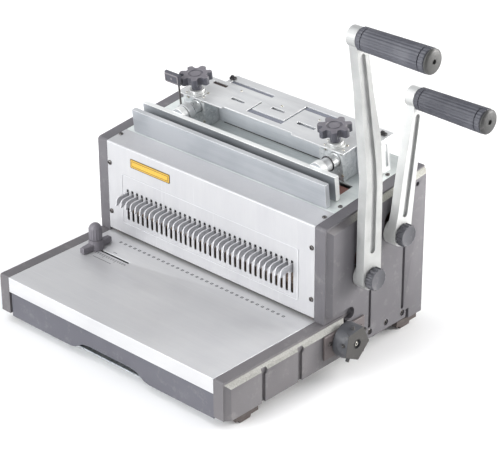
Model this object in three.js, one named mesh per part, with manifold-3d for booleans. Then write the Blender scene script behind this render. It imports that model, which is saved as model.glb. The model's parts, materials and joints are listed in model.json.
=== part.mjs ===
// Wire-comb punch and closer: a manual desk machine with a paper tray, a slotted front panel with
// wire hooks, a tilted deck with a two-jaw wire closer, and two levers on the right side.
// Millimetres, +Z up, +X to the operator's right, -Y towards the operator.
// The pieces are built in a working frame (x = 0 mid-width, y = 0 front panel, z = 0 tray top) and the
// whole assembly is then moved so that the origin is the bottom centre of its bounding box.

import * as THREE from "three";
import { mergeVertices } from "three/addons/utils/BufferGeometryUtils.js";
import Module from "manifold-3d";

const wasm = await Module();
wasm.setup();

// ---------------------------------------------------------------- driving dimensions

const GAP = 0.3;                      // clearance between pieces that touch
const PITCH = 25.4 / 3;               // 3:1 wire pitch
const HOLES = 34;                     // holes along the sheet
const SHEET = 1.5;                    // sheet steel thickness

const BODY_HALF = 175;                // inside of the side covers
const RIM_X = 191.3;                  // outside of the covers' rim
const CHEEK_X = 197;                  // outside of the raised cheeks
const CHEEK_BEVEL = CHEEK_X - RIM_X;
const TRAY_FRONT = -173.6;
const BODY_BACK = 181.9;
const PANEL_HEIGHT = 127.7;
const BASE_Z = -53.5;
const FLOOR_Z = -66;
const RAIL_FOOT = -51;                // bottoms of the side rails and of the covers
const COVER_BOTTOM = -47.9;
const TILT = THREE.MathUtils.degToRad(6.18);   // the deck rises towards the back

const PUNCH_AXIS = { y: 58.5, z: 51 };
const PUNCH_GRIP = { y: 29.5, z: 364.5 };
const CLOSE_AXIS = { y: 113.5, z: 88 };
const CLOSE_GRIP = { y: 137, z: 257 };
const SHAFT_R = 7;
const HUB_R = 16;
const ARM_INNER_X = 203;
const ARM_OUTER_X = 214.7;
const GRIP_END_X = 312;
const CAP_END_X = 316.5;

const PUNCH_STROKE_ANGLE = THREE.MathUtils.degToRad(80);
const PUNCH_STROKE = 12;
const CLOSE_STROKE_ANGLE = THREE.MathUtils.degToRad(20);
const CLOSE_STROKE = 9;

const THROAT = 4.6;                   // height of the paper throat under the front panel
const PIN_Y = 14;                     // line of the punch pins
const PIN_SIDE = 4;
const DISC_X = 140;                   // punch shaft's eccentric discs, one each side
const CRANK_X = [-70, 70];            // closing shaft's cranks
const FRAME_X = 165;                  // inside faces of the frame plates
const GUIDE_PIN_X = [-104, 126];      // closer guide pins, left and right
const GUIDE_PIN_W = 28;
const GUIDE_PIN_R = 8.5;
const BRIDGE_W = 44;                  // underside of the closer's bridge plate
const STAR_V = 98;                    // star knob axes on the deck
const MARGIN_AXIS = { y: 26, z: -24 };
const EDGE_GUIDE = { x: -152, y: -47 };
const DRAWER_FLOOR = -51.6;
const TRAY_SKIRT = -20.2;             // bottom of the tray's front flange

// ---------------------------------------------------------------- materials

const finish = (color, roughness, metalness) => () =>
  new THREE.MeshStandardMaterial({ color, roughness, metalness });

const slatePlastic = finish(0x7a7877, 0.6, 0);
const charcoalPlastic = finish(0x56535a, 0.55, 0);
const rubber = finish(0x5a504d, 0.85, 0);
const gripRubber = finish(0x666872, 0.6, 0);
const whitePaint = finish(0xe9ebee, 0.45, 0.1);
const satinTray = finish(0xc8cbd0, 0.4, 0.6);
const deckSteel = finish(0xb9bdc1, 0.45, 0.6);
const zincSteel = finish(0xa9b0b6, 0.35, 0.8);
const castAluminium = finish(0xdededb, 0.4, 0.6);
const polishedSteel = finish(0xc4c7ca, 0.2, 0.9);
const toolSteel = finish(0x8c8a86, 0.4, 0.8);
const primerSteel = finish(0x7c4a3d, 0.7, 0.1);
const bronze = finish(0xa8824e, 0.4, 0.7);
const drawerPlastic = finish(0x3c3d42, 0.6, 0);

// ---------------------------------------------------------------- geometry helpers

const X_AXIS = new THREE.Vector3(1, 0, 0);
const Y_AXIS = new THREE.Vector3(0, 1, 0);
const Z_AXIS = new THREE.Vector3(0, 0, 1);
const SIDE_VIEW = new THREE.Matrix4().makeBasis(Y_AXIS, Z_AXIS, X_AXIS);
const FRONT_VIEW = new THREE.Matrix4().makeBasis(X_AXIS, Z_AXIS, Y_AXIS.clone().negate());

function box(x0, x1, y0, y1, z0, z1) {
  const geometry = new THREE.BoxGeometry(x1 - x0, y1 - y0, z1 - z0);
  return geometry.translate((x0 + x1) / 2, (y0 + y1) / 2, (z0 + z1) / 2);
}

function rodX(radius, x0, x1, y, z, segments = 16, endRadius = radius) {
  const geometry = new THREE.CylinderGeometry(endRadius, radius, x1 - x0, segments);
  return geometry.rotateZ(-Math.PI / 2).translate((x0 + x1) / 2, y, z);
}

function rodY(radius, y0, y1, x, z, segments = 16, endRadius = radius) {
  const geometry = new THREE.CylinderGeometry(endRadius, radius, y1 - y0, segments);
  return geometry.translate(x, (y0 + y1) / 2, z);
}

function rodZ(radius, z0, z1, x, y, segments = 16, endRadius = radius) {
  const geometry = new THREE.CylinderGeometry(endRadius, radius, z1 - z0, segments);
  return geometry.rotateX(Math.PI / 2).translate(x, y, (z0 + z1) / 2);
}

function extrude(shape, depth, bevel = 0, curveSegments = 4) {
  return new THREE.ExtrudeGeometry(shape, {
    depth: depth - 2 * bevel,
    bevelEnabled: bevel > 0,
    bevelThickness: bevel,
    bevelSize: bevel,
    bevelOffset: -bevel,
    bevelSegments: 1,
    curveSegments,
  }).translate(0, 0, bevel);
}

// A shape drawn in (y, z), extruded from x0 to x1.
function sideSlab(shape, x0, x1, bevel = 0, curveSegments = 4) {
  return extrude(shape, x1 - x0, bevel, curveSegments).applyMatrix4(SIDE_VIEW).translate(x0, 0, 0);
}

// A shape drawn in (x, z), extruded from y0 to y1.
function frontSlab(shape, y0, y1, bevel = 0, curveSegments = 4) {
  return extrude(shape, y1 - y0, bevel, curveSegments).applyMatrix4(FRONT_VIEW).translate(0, y1, 0);
}

function polygon(...points) {
  return new THREE.Shape(points.map(([a, b]) => new THREE.Vector2(a, b)));
}

// A slot shape with round ends along the second axis.
function roundSlot(centre, low, high, width) {
  const r = width / 2;
  const shape = new THREE.Shape();
  shape.absarc(centre, high - r, r, 0, Math.PI, false);
  shape.absarc(centre, low + r, r, Math.PI, 2 * Math.PI, false);
  shape.closePath();
  return shape;
}

// A round outline with square flutes.
function flutedDisc(flutes, crestR, rootR) {
  const points = [];
  for (let i = 0; i < 4 * flutes; i += 1) {
    const angle = (i / (2 * flutes)) * Math.PI;
    const r = i % 4 < 2 ? crestR : rootR;
    points.push([r * Math.cos(angle), r * Math.sin(angle)]);
  }
  return polygon(...points);
}

function toSolid(geometry) {
  const bare = geometry.clone();
  bare.deleteAttribute("normal");
  bare.deleteAttribute("uv");
  const merged = mergeVertices(bare, 1e-4);
  const index = merged.index.array;
  const corners = [];
  for (let i = 0; i < index.length; i += 3) {
    const [a, b, c] = [index[i], index[i + 1], index[i + 2]];
    if (a !== b && b !== c && c !== a) corners.push(a, b, c);
  }
  return new wasm.Manifold(new wasm.Mesh({
    numProp: 3,
    vertProperties: new Float32Array(merged.attributes.position.array),
    triVerts: new Uint32Array(corners),
  }));
}

function toGeometry(solid) {
  const mesh = solid.getMesh();
  const geometry = new THREE.BufferGeometry();
  geometry.setAttribute("position", new THREE.BufferAttribute(new Float32Array(mesh.vertProperties), 3));
  geometry.setIndex(new THREE.BufferAttribute(new Uint32Array(mesh.triVerts), 1));
  return geometry;
}

const unionOf = (pieces) => pieces.map(toSolid).reduce((whole, piece) => whole.add(piece));

const fuse = (...pieces) => toGeometry(unionOf(pieces));

const carve = (piece, ...cutters) => toGeometry(toSolid(piece).subtract(unionOf(cutters)));

const overlap = (piece, other) => toGeometry(toSolid(piece).intersect(toSolid(other)));

const mirrored = (geometry) => {
  const copy = geometry.clone().scale(-1, 1, 1);
  const index = copy.index.array;
  for (let i = 0; i < index.length; i += 3) [index[i], index[i + 1]] = [index[i + 1], index[i]];
  return copy;
};

const holeX = Array.from({ length: HOLES }, (_, i) => (i - (HOLES - 1) / 2) * PITCH);

// ---------------------------------------------------------------- scene graph

const assembly = new THREE.Group();
assembly.position.set(
  (CHEEK_X - CAP_END_X) / 2,
  -(TRAY_FRONT + BODY_BACK) / 2,
  -FLOOR_Z,
);

// Everything on the deck is built in the deck's own frame: x across, y along the slope, z off the deck.
const deck = new THREE.Group();
deck.position.set(0, 0, PANEL_HEIGHT);
deck.rotation.x = TILT;
assembly.add(deck);

function part(name, geometry, material, parent = assembly) {
  const mesh = new THREE.Mesh(geometry, material());
  mesh.name = name;
  parent.add(mesh);
  return mesh;
}

const deckPoint = (v, w) => [
  v * Math.cos(TILT) - w * Math.sin(TILT),
  PANEL_HEIGHT + v * Math.sin(TILT) + w * Math.cos(TILT),
];

// ---------------------------------------------------------------- base and tray

const MARGIN_BORE = rodX(4.8, 150, CHEEK_X + 10, MARGIN_AXIS.y, MARGIN_AXIS.z);

function basePan() {
  const wallX = 173.3;
  const pan = fuse(
    box(-BODY_HALF, BODY_HALF, -168, 178, BASE_Z, BASE_Z + SHEET),
    box(-BODY_HALF, -wallX, -168, 178, BASE_Z, -4),
    box(wallX, BODY_HALF, -168, 178, BASE_Z, -4),
  );
  return carve(pan, MARGIN_BORE);
}

function traySheet() {
  const top = box(-175.5, 175.5, TRAY_FRONT, 5.7, -SHEET, 0);
  const flange = box(-175.5, 175.5, TRAY_FRONT, TRAY_FRONT + SHEET, TRAY_SKIRT, 0);
  const guideSlit = box(-157, -92, EDGE_GUIDE.y - 1.8, EDGE_GUIDE.y + 1.8, -5, 5);
  return carve(fuse(top, flange), guideSlit);
}

// The rail has the covers' section: a rim, and a cheek that stands out of it with bevelled edges.
function sideRail() {
  const front = TRAY_FRONT;
  const back = 35;
  const below = RAIL_FOOT - 20;
  const body = sideSlab(polygon([front, RAIL_FOOT], [back, RAIL_FOOT], [back, 0], [front + 1.8, 0],
    [front, -1.8]), 175.8, RIM_X);
  const rimEnd = box(175.8, 190.5, 30, 43.5, -4.5, 0);
  const cheek = sideSlab(polygon([front + 1.6, below], [back, below], [back, -3.3], [front + 1.6, -3.3]),
    RIM_X - CHEEK_BEVEL, CHEEK_X, CHEEK_BEVEL);
  const trim = box(170, 200, front, back, RAIL_FOOT, 10);
  const groove = (y, width, headY) => [
    sideSlab(roundSlot(y, RAIL_FOOT - 10, -6, width), CHEEK_X - 3, CHEEK_X + 5),
    rodX(5, CHEEK_X - 3, CHEEK_X + 5, headY, -9.3),
  ];
  return carve(fuse(body, rimEnd, overlap(cheek, trim)), ...groove(-112, 6, -110), ...groove(-49, 7, -47));
}

// A foot on the right: a flange that steps up under the rail or the cover, and a tapered block.
function foot(y, coverZ) {
  const flange = fuse(
    box(164.3, 194.3, y - 19.5, y + 19.5, -59.2, BASE_Z - GAP),
    box(BODY_HALF + 1, 194.3, y - 19.5, y + 19.5, -59.2, coverZ - GAP),
  );
  const block = polygon([y - 11.5, -59], [y - 9, FLOOR_Z], [y + 9, FLOOR_Z], [y + 11.5, -59]);
  return fuse(flange, sideSlab(block, 167.3, 191.3));
}

// Fascia with a flat arch in its lower edge, which is the drawer's finger pull.
function drawerFront() {
  const half = 174.3;
  const top = TRAY_SKIRT - 0.5;
  const bottom = BASE_Z - 1.7;
  const archHalf = 69;
  const archTop = bottom + 11.5;
  const flatHalf = archHalf - 34;
  const bendOut = archHalf - 16;
  const bendIn = archHalf - 14;
  const shape = new THREE.Shape();
  shape.moveTo(-half, bottom);
  shape.lineTo(-archHalf, bottom);
  shape.bezierCurveTo(-bendOut, bottom, -bendIn, archTop, -flatHalf, archTop);
  shape.lineTo(flatHalf, archTop);
  shape.bezierCurveTo(bendIn, archTop, bendOut, bottom, archHalf, bottom);
  shape.lineTo(half, bottom);
  shape.lineTo(half, top);
  shape.lineTo(-half, top);
  shape.closePath();
  return frontSlab(shape, -171.6, -168.6);
}

// The front wall is thick, with a pocket behind the fascia's arch for the fingers.
function drawerBox() {
  const outer = box(-160, 160, -168.3, 32, DRAWER_FLOOR, -26);
  const inner = box(-158.2, 158.2, -156.5, 30.2, DRAWER_FLOOR + 1.8, 0);
  const pocket = box(-60, 60, -170, -158, BASE_Z, 0);
  return carve(outer, inner, pocket);
}

part("base_pan", basePan(), zincSteel);
part("tray_sheet", traySheet(), satinTray);
const rail = sideRail();
part("side_rail_right", carve(rail, MARGIN_BORE), slatePlastic);
part("side_rail_left", mirrored(rail), slatePlastic);
for (const [end, y, coverZ] of [["front", -137.5, RAIL_FOOT], ["rear", 153.2, -51.2]]) {
  const shape = foot(y, coverZ);
  part(`foot_${end}_right`, shape, rubber);
  part(`foot_${end}_left`, mirrored(shape), rubber);
}
part("drawer_front", drawerFront(), slatePlastic);
part("drawer_box", drawerBox(), drawerPlastic);

// ---------------------------------------------------------------- body shell

function frontPanel() {
  const [lipY, lipZ] = deckPoint(34.5, 0);
  const [underY, underZ] = deckPoint(34.5, -SHEET);
  const profile = polygon([0, THROAT], [0, PANEL_HEIGHT - 1], [1, PANEL_HEIGHT + 0.1], [lipY, lipZ],
    [underY, underZ], [SHEET, PANEL_HEIGHT - SHEET], [SHEET, THROAT]);
  const sheet = sideSlab(profile, -BODY_HALF, BODY_HALF);
  const slots = holeX.map((x) => frontSlab(roundSlot(x, 26, 70, 4.2), -5, 6, 0, 2));
  return carve(sheet, ...slots);
}

// The back upper corner of the covers, where the deck's slope meets the back.
const DECK_LENGTH = BODY_BACK / Math.cos(TILT);
const BACK_TOP = deckPoint(DECK_LENGTH, 0);
// Behind this the covers reach down to the base; in front of it they stop above the side rails.
const COVER_FOOT_Y = 35.3;
// The rear end of the covers' lower edge is a little lower than the rest.
const REAR_CORNER = { y: 150, z: -51.2 };

function coverShell() {
  const wall = 3;
  const cheekInset = 2.6;
  const below = BASE_Z - 20;
  const [backY, backZ] = BACK_TOP;
  const [innerY, innerZ] = deckPoint(DECK_LENGTH - wall, -wall);
  const rim = polygon(
    [0, 0.5],
    [0, PANEL_HEIGHT - 3],
    [1, PANEL_HEIGHT - 0.9],
    [3, PANEL_HEIGHT + 0.3],
    [backY, backZ],
    [backY, REAR_CORNER.z + 7],
    [backY - 4, REAR_CORNER.z],
    [REAR_CORNER.y, REAR_CORNER.z],
    [REAR_CORNER.y, COVER_BOTTOM],
    [COVER_FOOT_Y, COVER_BOTTOM],
    [COVER_FOOT_Y, 0.5],
  );
  const cheek = polygon(
    [cheekInset, below],
    [cheekInset, PANEL_HEIGHT - cheekInset],
    [backY + 2, backZ - cheekInset + 0.5],
    [backY + 2, below],
  );
  const cavity = polygon(
    [wall, 14],
    [wall, PANEL_HEIGHT - wall - 1],
    [innerY, innerZ],
    [innerY, COVER_BOTTOM + wall],
    [50, COVER_BOTTOM + wall],
    [50, 14],
  );
  return carve(
    fuse(
      sideSlab(rim, BODY_HALF + GAP, RIM_X),
      overlap(sideSlab(cheek, RIM_X - CHEEK_BEVEL, CHEEK_X, CHEEK_BEVEL), sideSlab(rim, 170, 200)),
    ),
    sideSlab(cavity, BODY_HALF - 5, RIM_X - wall),
  );
}

// Features that both covers share on their outer faces.
function coverDetails() {
  const face = CHEEK_X - 2.8;
  const railNotch = new THREE.Shape();
  railNotch.moveTo(-10, -4.8);
  railNotch.lineTo(40, -4.8);
  railNotch.absarc(40, 3.2, 8, -Math.PI / 2, Math.PI / 2, false);
  railNotch.lineTo(-10, 11.2);
  railNotch.closePath();
  return [
    sideSlab(railNotch, RIM_X - 0.5, CHEEK_X + 5),
    box(170, RIM_X, 30, 44.2, -5, 0.5),
    sideSlab(roundSlot(77, -33, 60, 4.6), face, CHEEK_X + 5),
    sideSlab(roundSlot(139.9, -33, 90, 4.8), face, CHEEK_X + 5),
    box(RIM_X, CHEEK_X + 5, 147.4, 153, RAIL_FOOT - 5, -37),
    ...[78.3, 109.2, 140.6].map((y) => rodX(4.2, CHEEK_X - 2.5, CHEEK_X + 5, y, -39, 16)),
  ];
}

function sideCoverRight() {
  const leverWindow = (axis, half, rise) =>
    sideSlab(roundSlot(axis.y, axis.z - half, axis.z + rise, 2 * half), 180, CHEEK_X + 5);
  return carve(
    coverShell(),
    ...coverDetails(),
    leverWindow(PUNCH_AXIS, 12, 37),
    leverWindow(CLOSE_AXIS, 13, 25),
    rodX(3, CHEEK_X - 6, CHEEK_X + 5, 162.3, 130.5, 12),
  );
}

const sideCoverLeft = () => mirrored(carve(coverShell(), ...coverDetails()));

function framePlate() {
  const outline = polygon([6, -50], [176, -50], [176, 137], [6, 118]);
  const bushHole = (axis) => rodX(10.3, 160, 175, axis.y, axis.z);
  return carve(sideSlab(outline, FRAME_X, FRAME_X + 3), bushHole(PUNCH_AXIS), bushHole(CLOSE_AXIS));
}

part("front_panel", frontPanel(), whitePaint);
part("side_cover_right", sideCoverRight(), slatePlastic);
part("side_cover_left", sideCoverLeft(), slatePlastic);
part("rear_cover", box(-BODY_HALF, BODY_HALF, 179.2, 181.2, BASE_Z + GAP, 146.4), deckSteel);
const plate = framePlate();
part("frame_plate_right", carve(plate, MARGIN_BORE), primerSteel);
part("frame_plate_left", mirrored(plate), primerSteel);

// ---------------------------------------------------------------- punch unit

const HOLE_SIDE = PIN_SIDE + 0.4;

const pinHoles = (z0, z1, side) => holeX.map((x) =>
  box(x - side / 2, x + side / 2, PIN_Y - side / 2, PIN_Y + side / 2, z0, z1));

const diePlate = () => carve(box(-156, 156, 8, 36, -12, 0), ...pinHoles(-20, 20, HOLE_SIDE));

function punchGuide() {
  const block = fuse(
    box(-156, 156, 8, 26, THROAT + 0.1, 20),
    box(-156, -150, 8, 26, GAP, THROAT + 2),
    box(150, 156, 8, 26, GAP, THROAT + 2),
  );
  return carve(block, ...pinHoles(-20, 40, HOLE_SIDE));
}

// A bar that carries the pins, with an arm under each eccentric disc.
function punchBar() {
  const bottom = 34;
  const top = 50;
  const arm = (x) => fuse(
    box(x - 7, x + 7, 20, 30, bottom, top),
    box(x - 7, x + 7, 27.5, 66, 28.6, 38.6),
  );
  return fuse(
    box(-148, 148, 8, 24, bottom, top),
    arm(-DISC_X),
    arm(DISC_X),
    ...pinHoles(THROAT + 1, bottom + 6, PIN_SIDE),
  );
}

// Thin blades that leave the panel through the upper half of the slots and turn down at the front.
function hookRack() {
  const hook = polygon([3, 65.6], [-13, 65.2], [-17.4, 64], [-19.6, 61.6], [-20, 58], [-21, 54.2],
    [-17.4, 53.8], [-16.6, 54.4], [-14, 56.2], [-9, 56.8], [-5, 56.2], [-2.6, 53.6], [3, 53.5]);
  const hooks = holeX.map((x) => sideSlab(hook, x - 1.4, x + 0.2));
  return fuse(box(-150, 150, 2.4, 6, 52, 69), ...hooks);
}

// A shaft end to end through both frame plates, out to the lever's hub on the right.
const crossShaft = (axis) => rodX(SHAFT_R, -171, ARM_OUTER_X - GAP, axis.y, axis.z);

// Two eccentric discs press the punch bar's arms down as the lever comes forward.
function punchShaft() {
  const discR = 18;
  const eccentricity = PUNCH_STROKE / (2 * Math.sin(PUNCH_STROKE_ANGLE / 2));
  const lead = PUNCH_STROKE_ANGLE / 2;
  const discY = PUNCH_AXIS.y - eccentricity * Math.cos(lead);
  const discZ = PUNCH_AXIS.z + eccentricity * Math.sin(lead);
  const disc = (x) => rodX(discR, x - 6, x + 6, discY, discZ, 24);
  return fuse(crossShaft(PUNCH_AXIS), disc(-DISC_X), disc(DISC_X));
}

function bush(axis) {
  const sleeve = rodX(10, FRAME_X - 1, FRAME_X + 3.5, axis.y, axis.z);
  const collar = rodX(12.5, FRAME_X + 3.3, FRAME_X + 5, axis.y, axis.z);
  return carve(fuse(sleeve, collar), rodX(SHAFT_R + 0.35, 160, 175, axis.y, axis.z));
}

// Torsion spring coiled round a cross shaft at its left end.
class Helix extends THREE.Curve {
  constructor(axis, radius, x0, x1, turns) {
    super();
    Object.assign(this, { axis, radius, x0, x1, turns });
  }

  getPoint(t, target = new THREE.Vector3()) {
    const angle = 2 * Math.PI * this.turns * t;
    return target.set(
      this.x0 + (this.x1 - this.x0) * t,
      this.axis.y + this.radius * Math.cos(angle),
      this.axis.z + this.radius * Math.sin(angle),
    );
  }
}

function torsionSpring(axis) {
  const turns = 3;
  const wire = new THREE.Shape();
  wire.absarc(0, 0, 1.1, 0, 2 * Math.PI, false);
  return new THREE.ExtrudeGeometry(wire, {
    steps: turns * 10,
    curveSegments: 3,
    bevelEnabled: false,
    extrudePath: new Helix(axis, 10.5, -162, -150, turns),
  });
}

part("die_plate", diePlate(), toolSteel);
part("punch_guide", punchGuide(), toolSteel);
part("punch_bar", punchBar(), toolSteel);
part("wire_hook_rack", hookRack(), zincSteel);
part("margin_stop_bar", box(-149, 149, 20, 24, 0.4, THROAT - 0.4), polishedSteel);
part("punch_shaft", punchShaft(), toolSteel);
for (const [name, axis] of [["punch", PUNCH_AXIS], ["closing", CLOSE_AXIS]]) {
  const ring = bush(axis);
  part(`${name}_bush_right`, ring, bronze);
  part(`${name}_bush_left`, mirrored(ring), bronze);
  part(`${name}_return_spring`, torsionSpring(axis), toolSteel);
}

// ---------------------------------------------------------------- levers

// Outline points run up the front edge and down the back edge between the round ends.
function leverArm(axis, grip, frontEdge, backEdge, groove) {
  const topR = 12.5;
  const blade = polygon(...frontEdge, ...backEdge);
  const arm = fuse(
    sideSlab(blade, ARM_INNER_X, ARM_OUTER_X),
    rodX(HUB_R, ARM_INNER_X - 4.7, ARM_OUTER_X, axis.y, axis.z, 24),
    rodX(topR, ARM_INNER_X - 1, ARM_OUTER_X, grip.y, grip.z, 20),
  );
  return carve(
    arm,
    groove,
    rodX(SHAFT_R + 0.35, 190, 220, axis.y, axis.z),
  );
}

// A cutter for a round-ended groove of constant width along a run of points in the arm's outer face.
function armGroove(width, ...points) {
  const floor = ARM_OUTER_X - 3;
  const beyond = ARM_OUTER_X + 5;
  const path = points.map(([y, z]) => new THREE.Vector2(y, z));
  const left = [];
  const right = [];
  path.forEach((point, i) => {
    const before = path[Math.max(i - 1, 0)];
    const after = path[Math.min(i + 1, path.length - 1)];
    const along = after.clone().sub(before).normalize();
    const across = new THREE.Vector2(-along.y, along.x).multiplyScalar(width / 2);
    left.push(point.clone().add(across));
    right.unshift(point.clone().sub(across));
  });
  const ends = [points[0], points[points.length - 1]];
  return fuse(
    sideSlab(new THREE.Shape([...left, ...right]), floor, beyond),
    ...ends.map(([y, z]) => rodX(width / 2, floor, beyond, y, z)),
  );
}

function grip(axis) {
  const ribs = 20;
  const startR = 13.8;
  const endR = 15.6;
  const outline = [];
  for (let i = 0; i < 2 * ribs; i += 1) {
    const angle = (i / ribs) * Math.PI;
    const r = i % 2 ? 1 : 0.955;
    outline.push(new THREE.Vector2(r * Math.cos(angle), r * Math.sin(angle)));
  }
  const start = ARM_OUTER_X + GAP;
  const sleeve = extrude(new THREE.Shape(outline), 1);
  const position = sleeve.attributes.position;
  for (let i = 0; i < position.count; i += 1) {
    const r = THREE.MathUtils.lerp(startR, endR, position.getZ(i));
    position.setX(i, position.getX(i) * r);
    position.setY(i, position.getY(i) * r);
  }
  sleeve.scale(1, 1, GRIP_END_X - start);
  return sleeve.applyMatrix4(SIDE_VIEW).translate(start, axis.y, axis.z);
}

function gripCap(axis) {
  const plug = fuse(
    rodX(14.6, GRIP_END_X + GAP, GRIP_END_X + 2.5, axis.y, axis.z, 20),
    rodX(14.6, GRIP_END_X + 2.4, CAP_END_X, axis.y, axis.z, 20, 12.4),
  );
  return carve(plug, rodX(2.2, GRIP_END_X + 1.5, CAP_END_X + 5, axis.y, axis.z, 8));
}

function hubCap(axis) {
  return sideSlab(flutedDisc(14, 14.8, 13.7), ARM_OUTER_X + GAP, 224.7).translate(0, axis.y, axis.z);
}

const punchArm = leverArm(
  PUNCH_AXIS, PUNCH_GRIP,
  [[42.7, 48], [42.4, 70], [43, 134], [44.6, 181], [30.6, 298], [19.6, 366]],
  [[39.6, 364], [52.6, 293], [68.3, 230], [73.2, 173], [73.6, 120], [74.3, 55]],
  armGroove(9, [32.5, 340], [45.5, 262], [56, 200], [58.6, 170], [58.2, 88]),
);
const closeArm = leverArm(
  CLOSE_AXIS, CLOSE_GRIP,
  [[98.6, 92], [104.5, 118], [111, 160], [117.2, 193], [129.6, 256]],
  [[146.6, 254], [140.4, 190], [135.9, 155], [131.6, 115], [128.8, 85]],
  armGroove(8.5, [134.5, 233], [128.5, 190], [122.5, 150], [117.5, 113]),
);

for (const [name, axis, gripAxis, arm] of [
  ["punch", PUNCH_AXIS, PUNCH_GRIP, punchArm],
  ["closing", CLOSE_AXIS, CLOSE_GRIP, closeArm],
]) {
  part(`${name}_lever_arm`, arm, castAluminium);
  part(`${name}_grip`, grip(gripAxis), gripRubber);
  part(`${name}_grip_cap`, gripCap(gripAxis), charcoalPlastic);
  part(`${name}_hub_cap`, hubCap(axis), slatePlastic);
}

// ---------------------------------------------------------------- closer on the deck

// The closing shaft's place in the deck frame, and the crank that drives the crosshead.
const CRANK = {
  radius: CLOSE_STROKE / (2 * Math.sin(CLOSE_STROKE_ANGLE / 2)),
  v: CLOSE_AXIS.y * Math.cos(TILT) + (CLOSE_AXIS.z - PANEL_HEIGHT) * Math.sin(TILT),
  w: -CLOSE_AXIS.y * Math.sin(TILT) + (CLOSE_AXIS.z - PANEL_HEIGHT) * Math.cos(TILT),
};
CRANK.pinV = CRANK.v + CLOSE_STROKE / 2;
CRANK.pinW = CRANK.w + CRANK.radius * Math.cos(CLOSE_STROKE_ANGLE / 2);

function closingShaft() {
  const pinR = 4;
  const pieces = [crossShaft(CLOSE_AXIS)];
  const [pinY, pinZ] = deckPoint(CRANK.pinV, CRANK.pinW);
  const reach = Math.hypot(pinY - CLOSE_AXIS.y, pinZ - CLOSE_AXIS.z);
  const lean = Math.atan2(CLOSE_AXIS.y - pinY, pinZ - CLOSE_AXIS.z);
  for (const x of CRANK_X) {
    const web = box(x - 9, x - 2, -9, 9, 0, reach + 7);
    web.rotateX(lean).translate(0, CLOSE_AXIS.y, CLOSE_AXIS.z);
    pieces.push(web, rodX(pinR, x - 5, x + 6, pinY, pinZ));
    pieces.push(rodX(13, x - 9, x - 2, CLOSE_AXIS.y, CLOSE_AXIS.z));
  }
  return fuse(...pieces);
}

// A bar behind the brackets joins the guide pins; two yokes reach down to the crank pins.
function crosshead() {
  const back = 149;
  const yoke = (x) => {
    const shoe = box(x - 1, x + 6, CRANK.pinV - 11, back, CRANK.pinW - 9, CRANK.pinW + 11);
    const leg = box(x - 1, x + 6, back - 14, back, CRANK.pinW - 9, 30);
    const slot = roundSlot(CRANK.pinV, CRANK.pinW - 6, CRANK.pinW + 6, 8.8);
    return carve(fuse(shoe, leg), sideSlab(slot, x - 3, x + 8));
  };
  const pinBores = GUIDE_PIN_X.map((x) => rodY(GUIDE_PIN_R + GAP, 130, 155, x, GUIDE_PIN_W));
  return carve(fuse(box(-118, 137, back - 8, back, 17, 39), ...CRANK_X.map(yoke)), ...pinBores);
}

function deckPlate() {
  const yokeSlots = CRANK_X.map((x) => box(x - 3, x + 8, 125, 151, -10, 10));
  return carve(
    box(-174.7, 174.7, 35, 178.6, -2, 0),
    box(120, 153, 66, 94, -10, 10),
    ...yokeSlots,
  );
}

function rearJaw() {
  const blade = box(-160.5, 160.5, 55, 62, 0.6, 33.5);
  const bosses = GUIDE_PIN_X.map((x) => rodY(11, 61, 70, x, GUIDE_PIN_W));
  return fuse(blade, ...bosses);
}

function bracket(x0, x1, pinX) {
  const sheet = 2.5;
  const top = BRIDGE_W - GAP;
  const pieces = fuse(
    box(x0, x1, 95, 95 + sheet, GAP, top),
    box(x0, x0 + sheet, 95, 119.6, GAP, top),
    box(x1 - sheet, x1, 95, 119.6, GAP, top),
    box(x0, x1, 95, 119.6, GAP, GAP + sheet),
  );
  return carve(pieces, rodY(GUIDE_PIN_R + 0.7, 90, 100, pinX, GUIDE_PIN_W));
}

// A wall behind both brackets, with a clearance hole for each guide pin.
function closerWall() {
  const holes = GUIDE_PIN_X.map((x) => rodY(GUIDE_PIN_R + 0.7, 115, 125, x, GUIDE_PIN_W));
  return carve(box(-127, 162.9, 120, 122, GAP, BRIDGE_W - GAP), ...holes);
}

function bridgePlate() {
  const outline = polygon(
    [-127, 87], [-52, 87], [-50, 90.5], [62, 90.5], [64, 87], [147, 87], [147, 124], [165, 126],
    [165, 161], [-95, 161], [-95, 141], [-127, 141],
  );
  const thick = 1.8;
  const sheet = extrude(outline, thick).translate(0, 0, BRIDGE_W);
  const endPlate = box(163.2, 165, 127, 150, GAP, BRIDGE_W + 1);
  const slot = (x0, x1, v0, v1) => box(x0, x1, v0, v1, BRIDGE_W - 5, BRIDGE_W + 5);
  return carve(
    fuse(sheet, endPlate),
    slot(-107.5, -83.5, 128.5, 134.5),
    slot(-88, -17, 142.5, 148.5),
    slot(34, 95, 142.5, 150.5),
    slot(-59, -37, 110.5, 115.5),
    slot(0, 21, 121, 126),
    slot(51, 80, 110.5, 116),
    slot(-21, 37, 99, 107.5),
    slot(-21, -18.5, 101, 127),
    slot(34, 37, 101, 146),
    box(160, 170, 142, 146, 7, 37),
    ...GUIDE_PIN_X.map((x) => rodZ(4.6, BRIDGE_W - 5, BRIDGE_W + 5, x, STAR_V)),
  );
}

function starKnob(x) {
  const lobes = 7;
  const steps = lobes * 6;
  const points = [];
  for (let i = 0; i < steps; i += 1) {
    const angle = (i / steps) * 2 * Math.PI;
    const r = 18.1 + 3.3 * Math.tanh(2.6 * Math.cos(lobes * angle));
    points.push([r * Math.cos(angle), r * Math.sin(angle)]);
  }
  const head = extrude(polygon(...points), 10.8).translate(0, 0, 63.2);
  const neck = rodZ(8.5, 52.4, 64, 0, 0, 16, 10.5);
  const stud = rodZ(4, BRIDGE_W + 0.4, 53, 0, 0, 12);
  return fuse(head, neck, stud).translate(x, STAR_V, 0);
}

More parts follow.
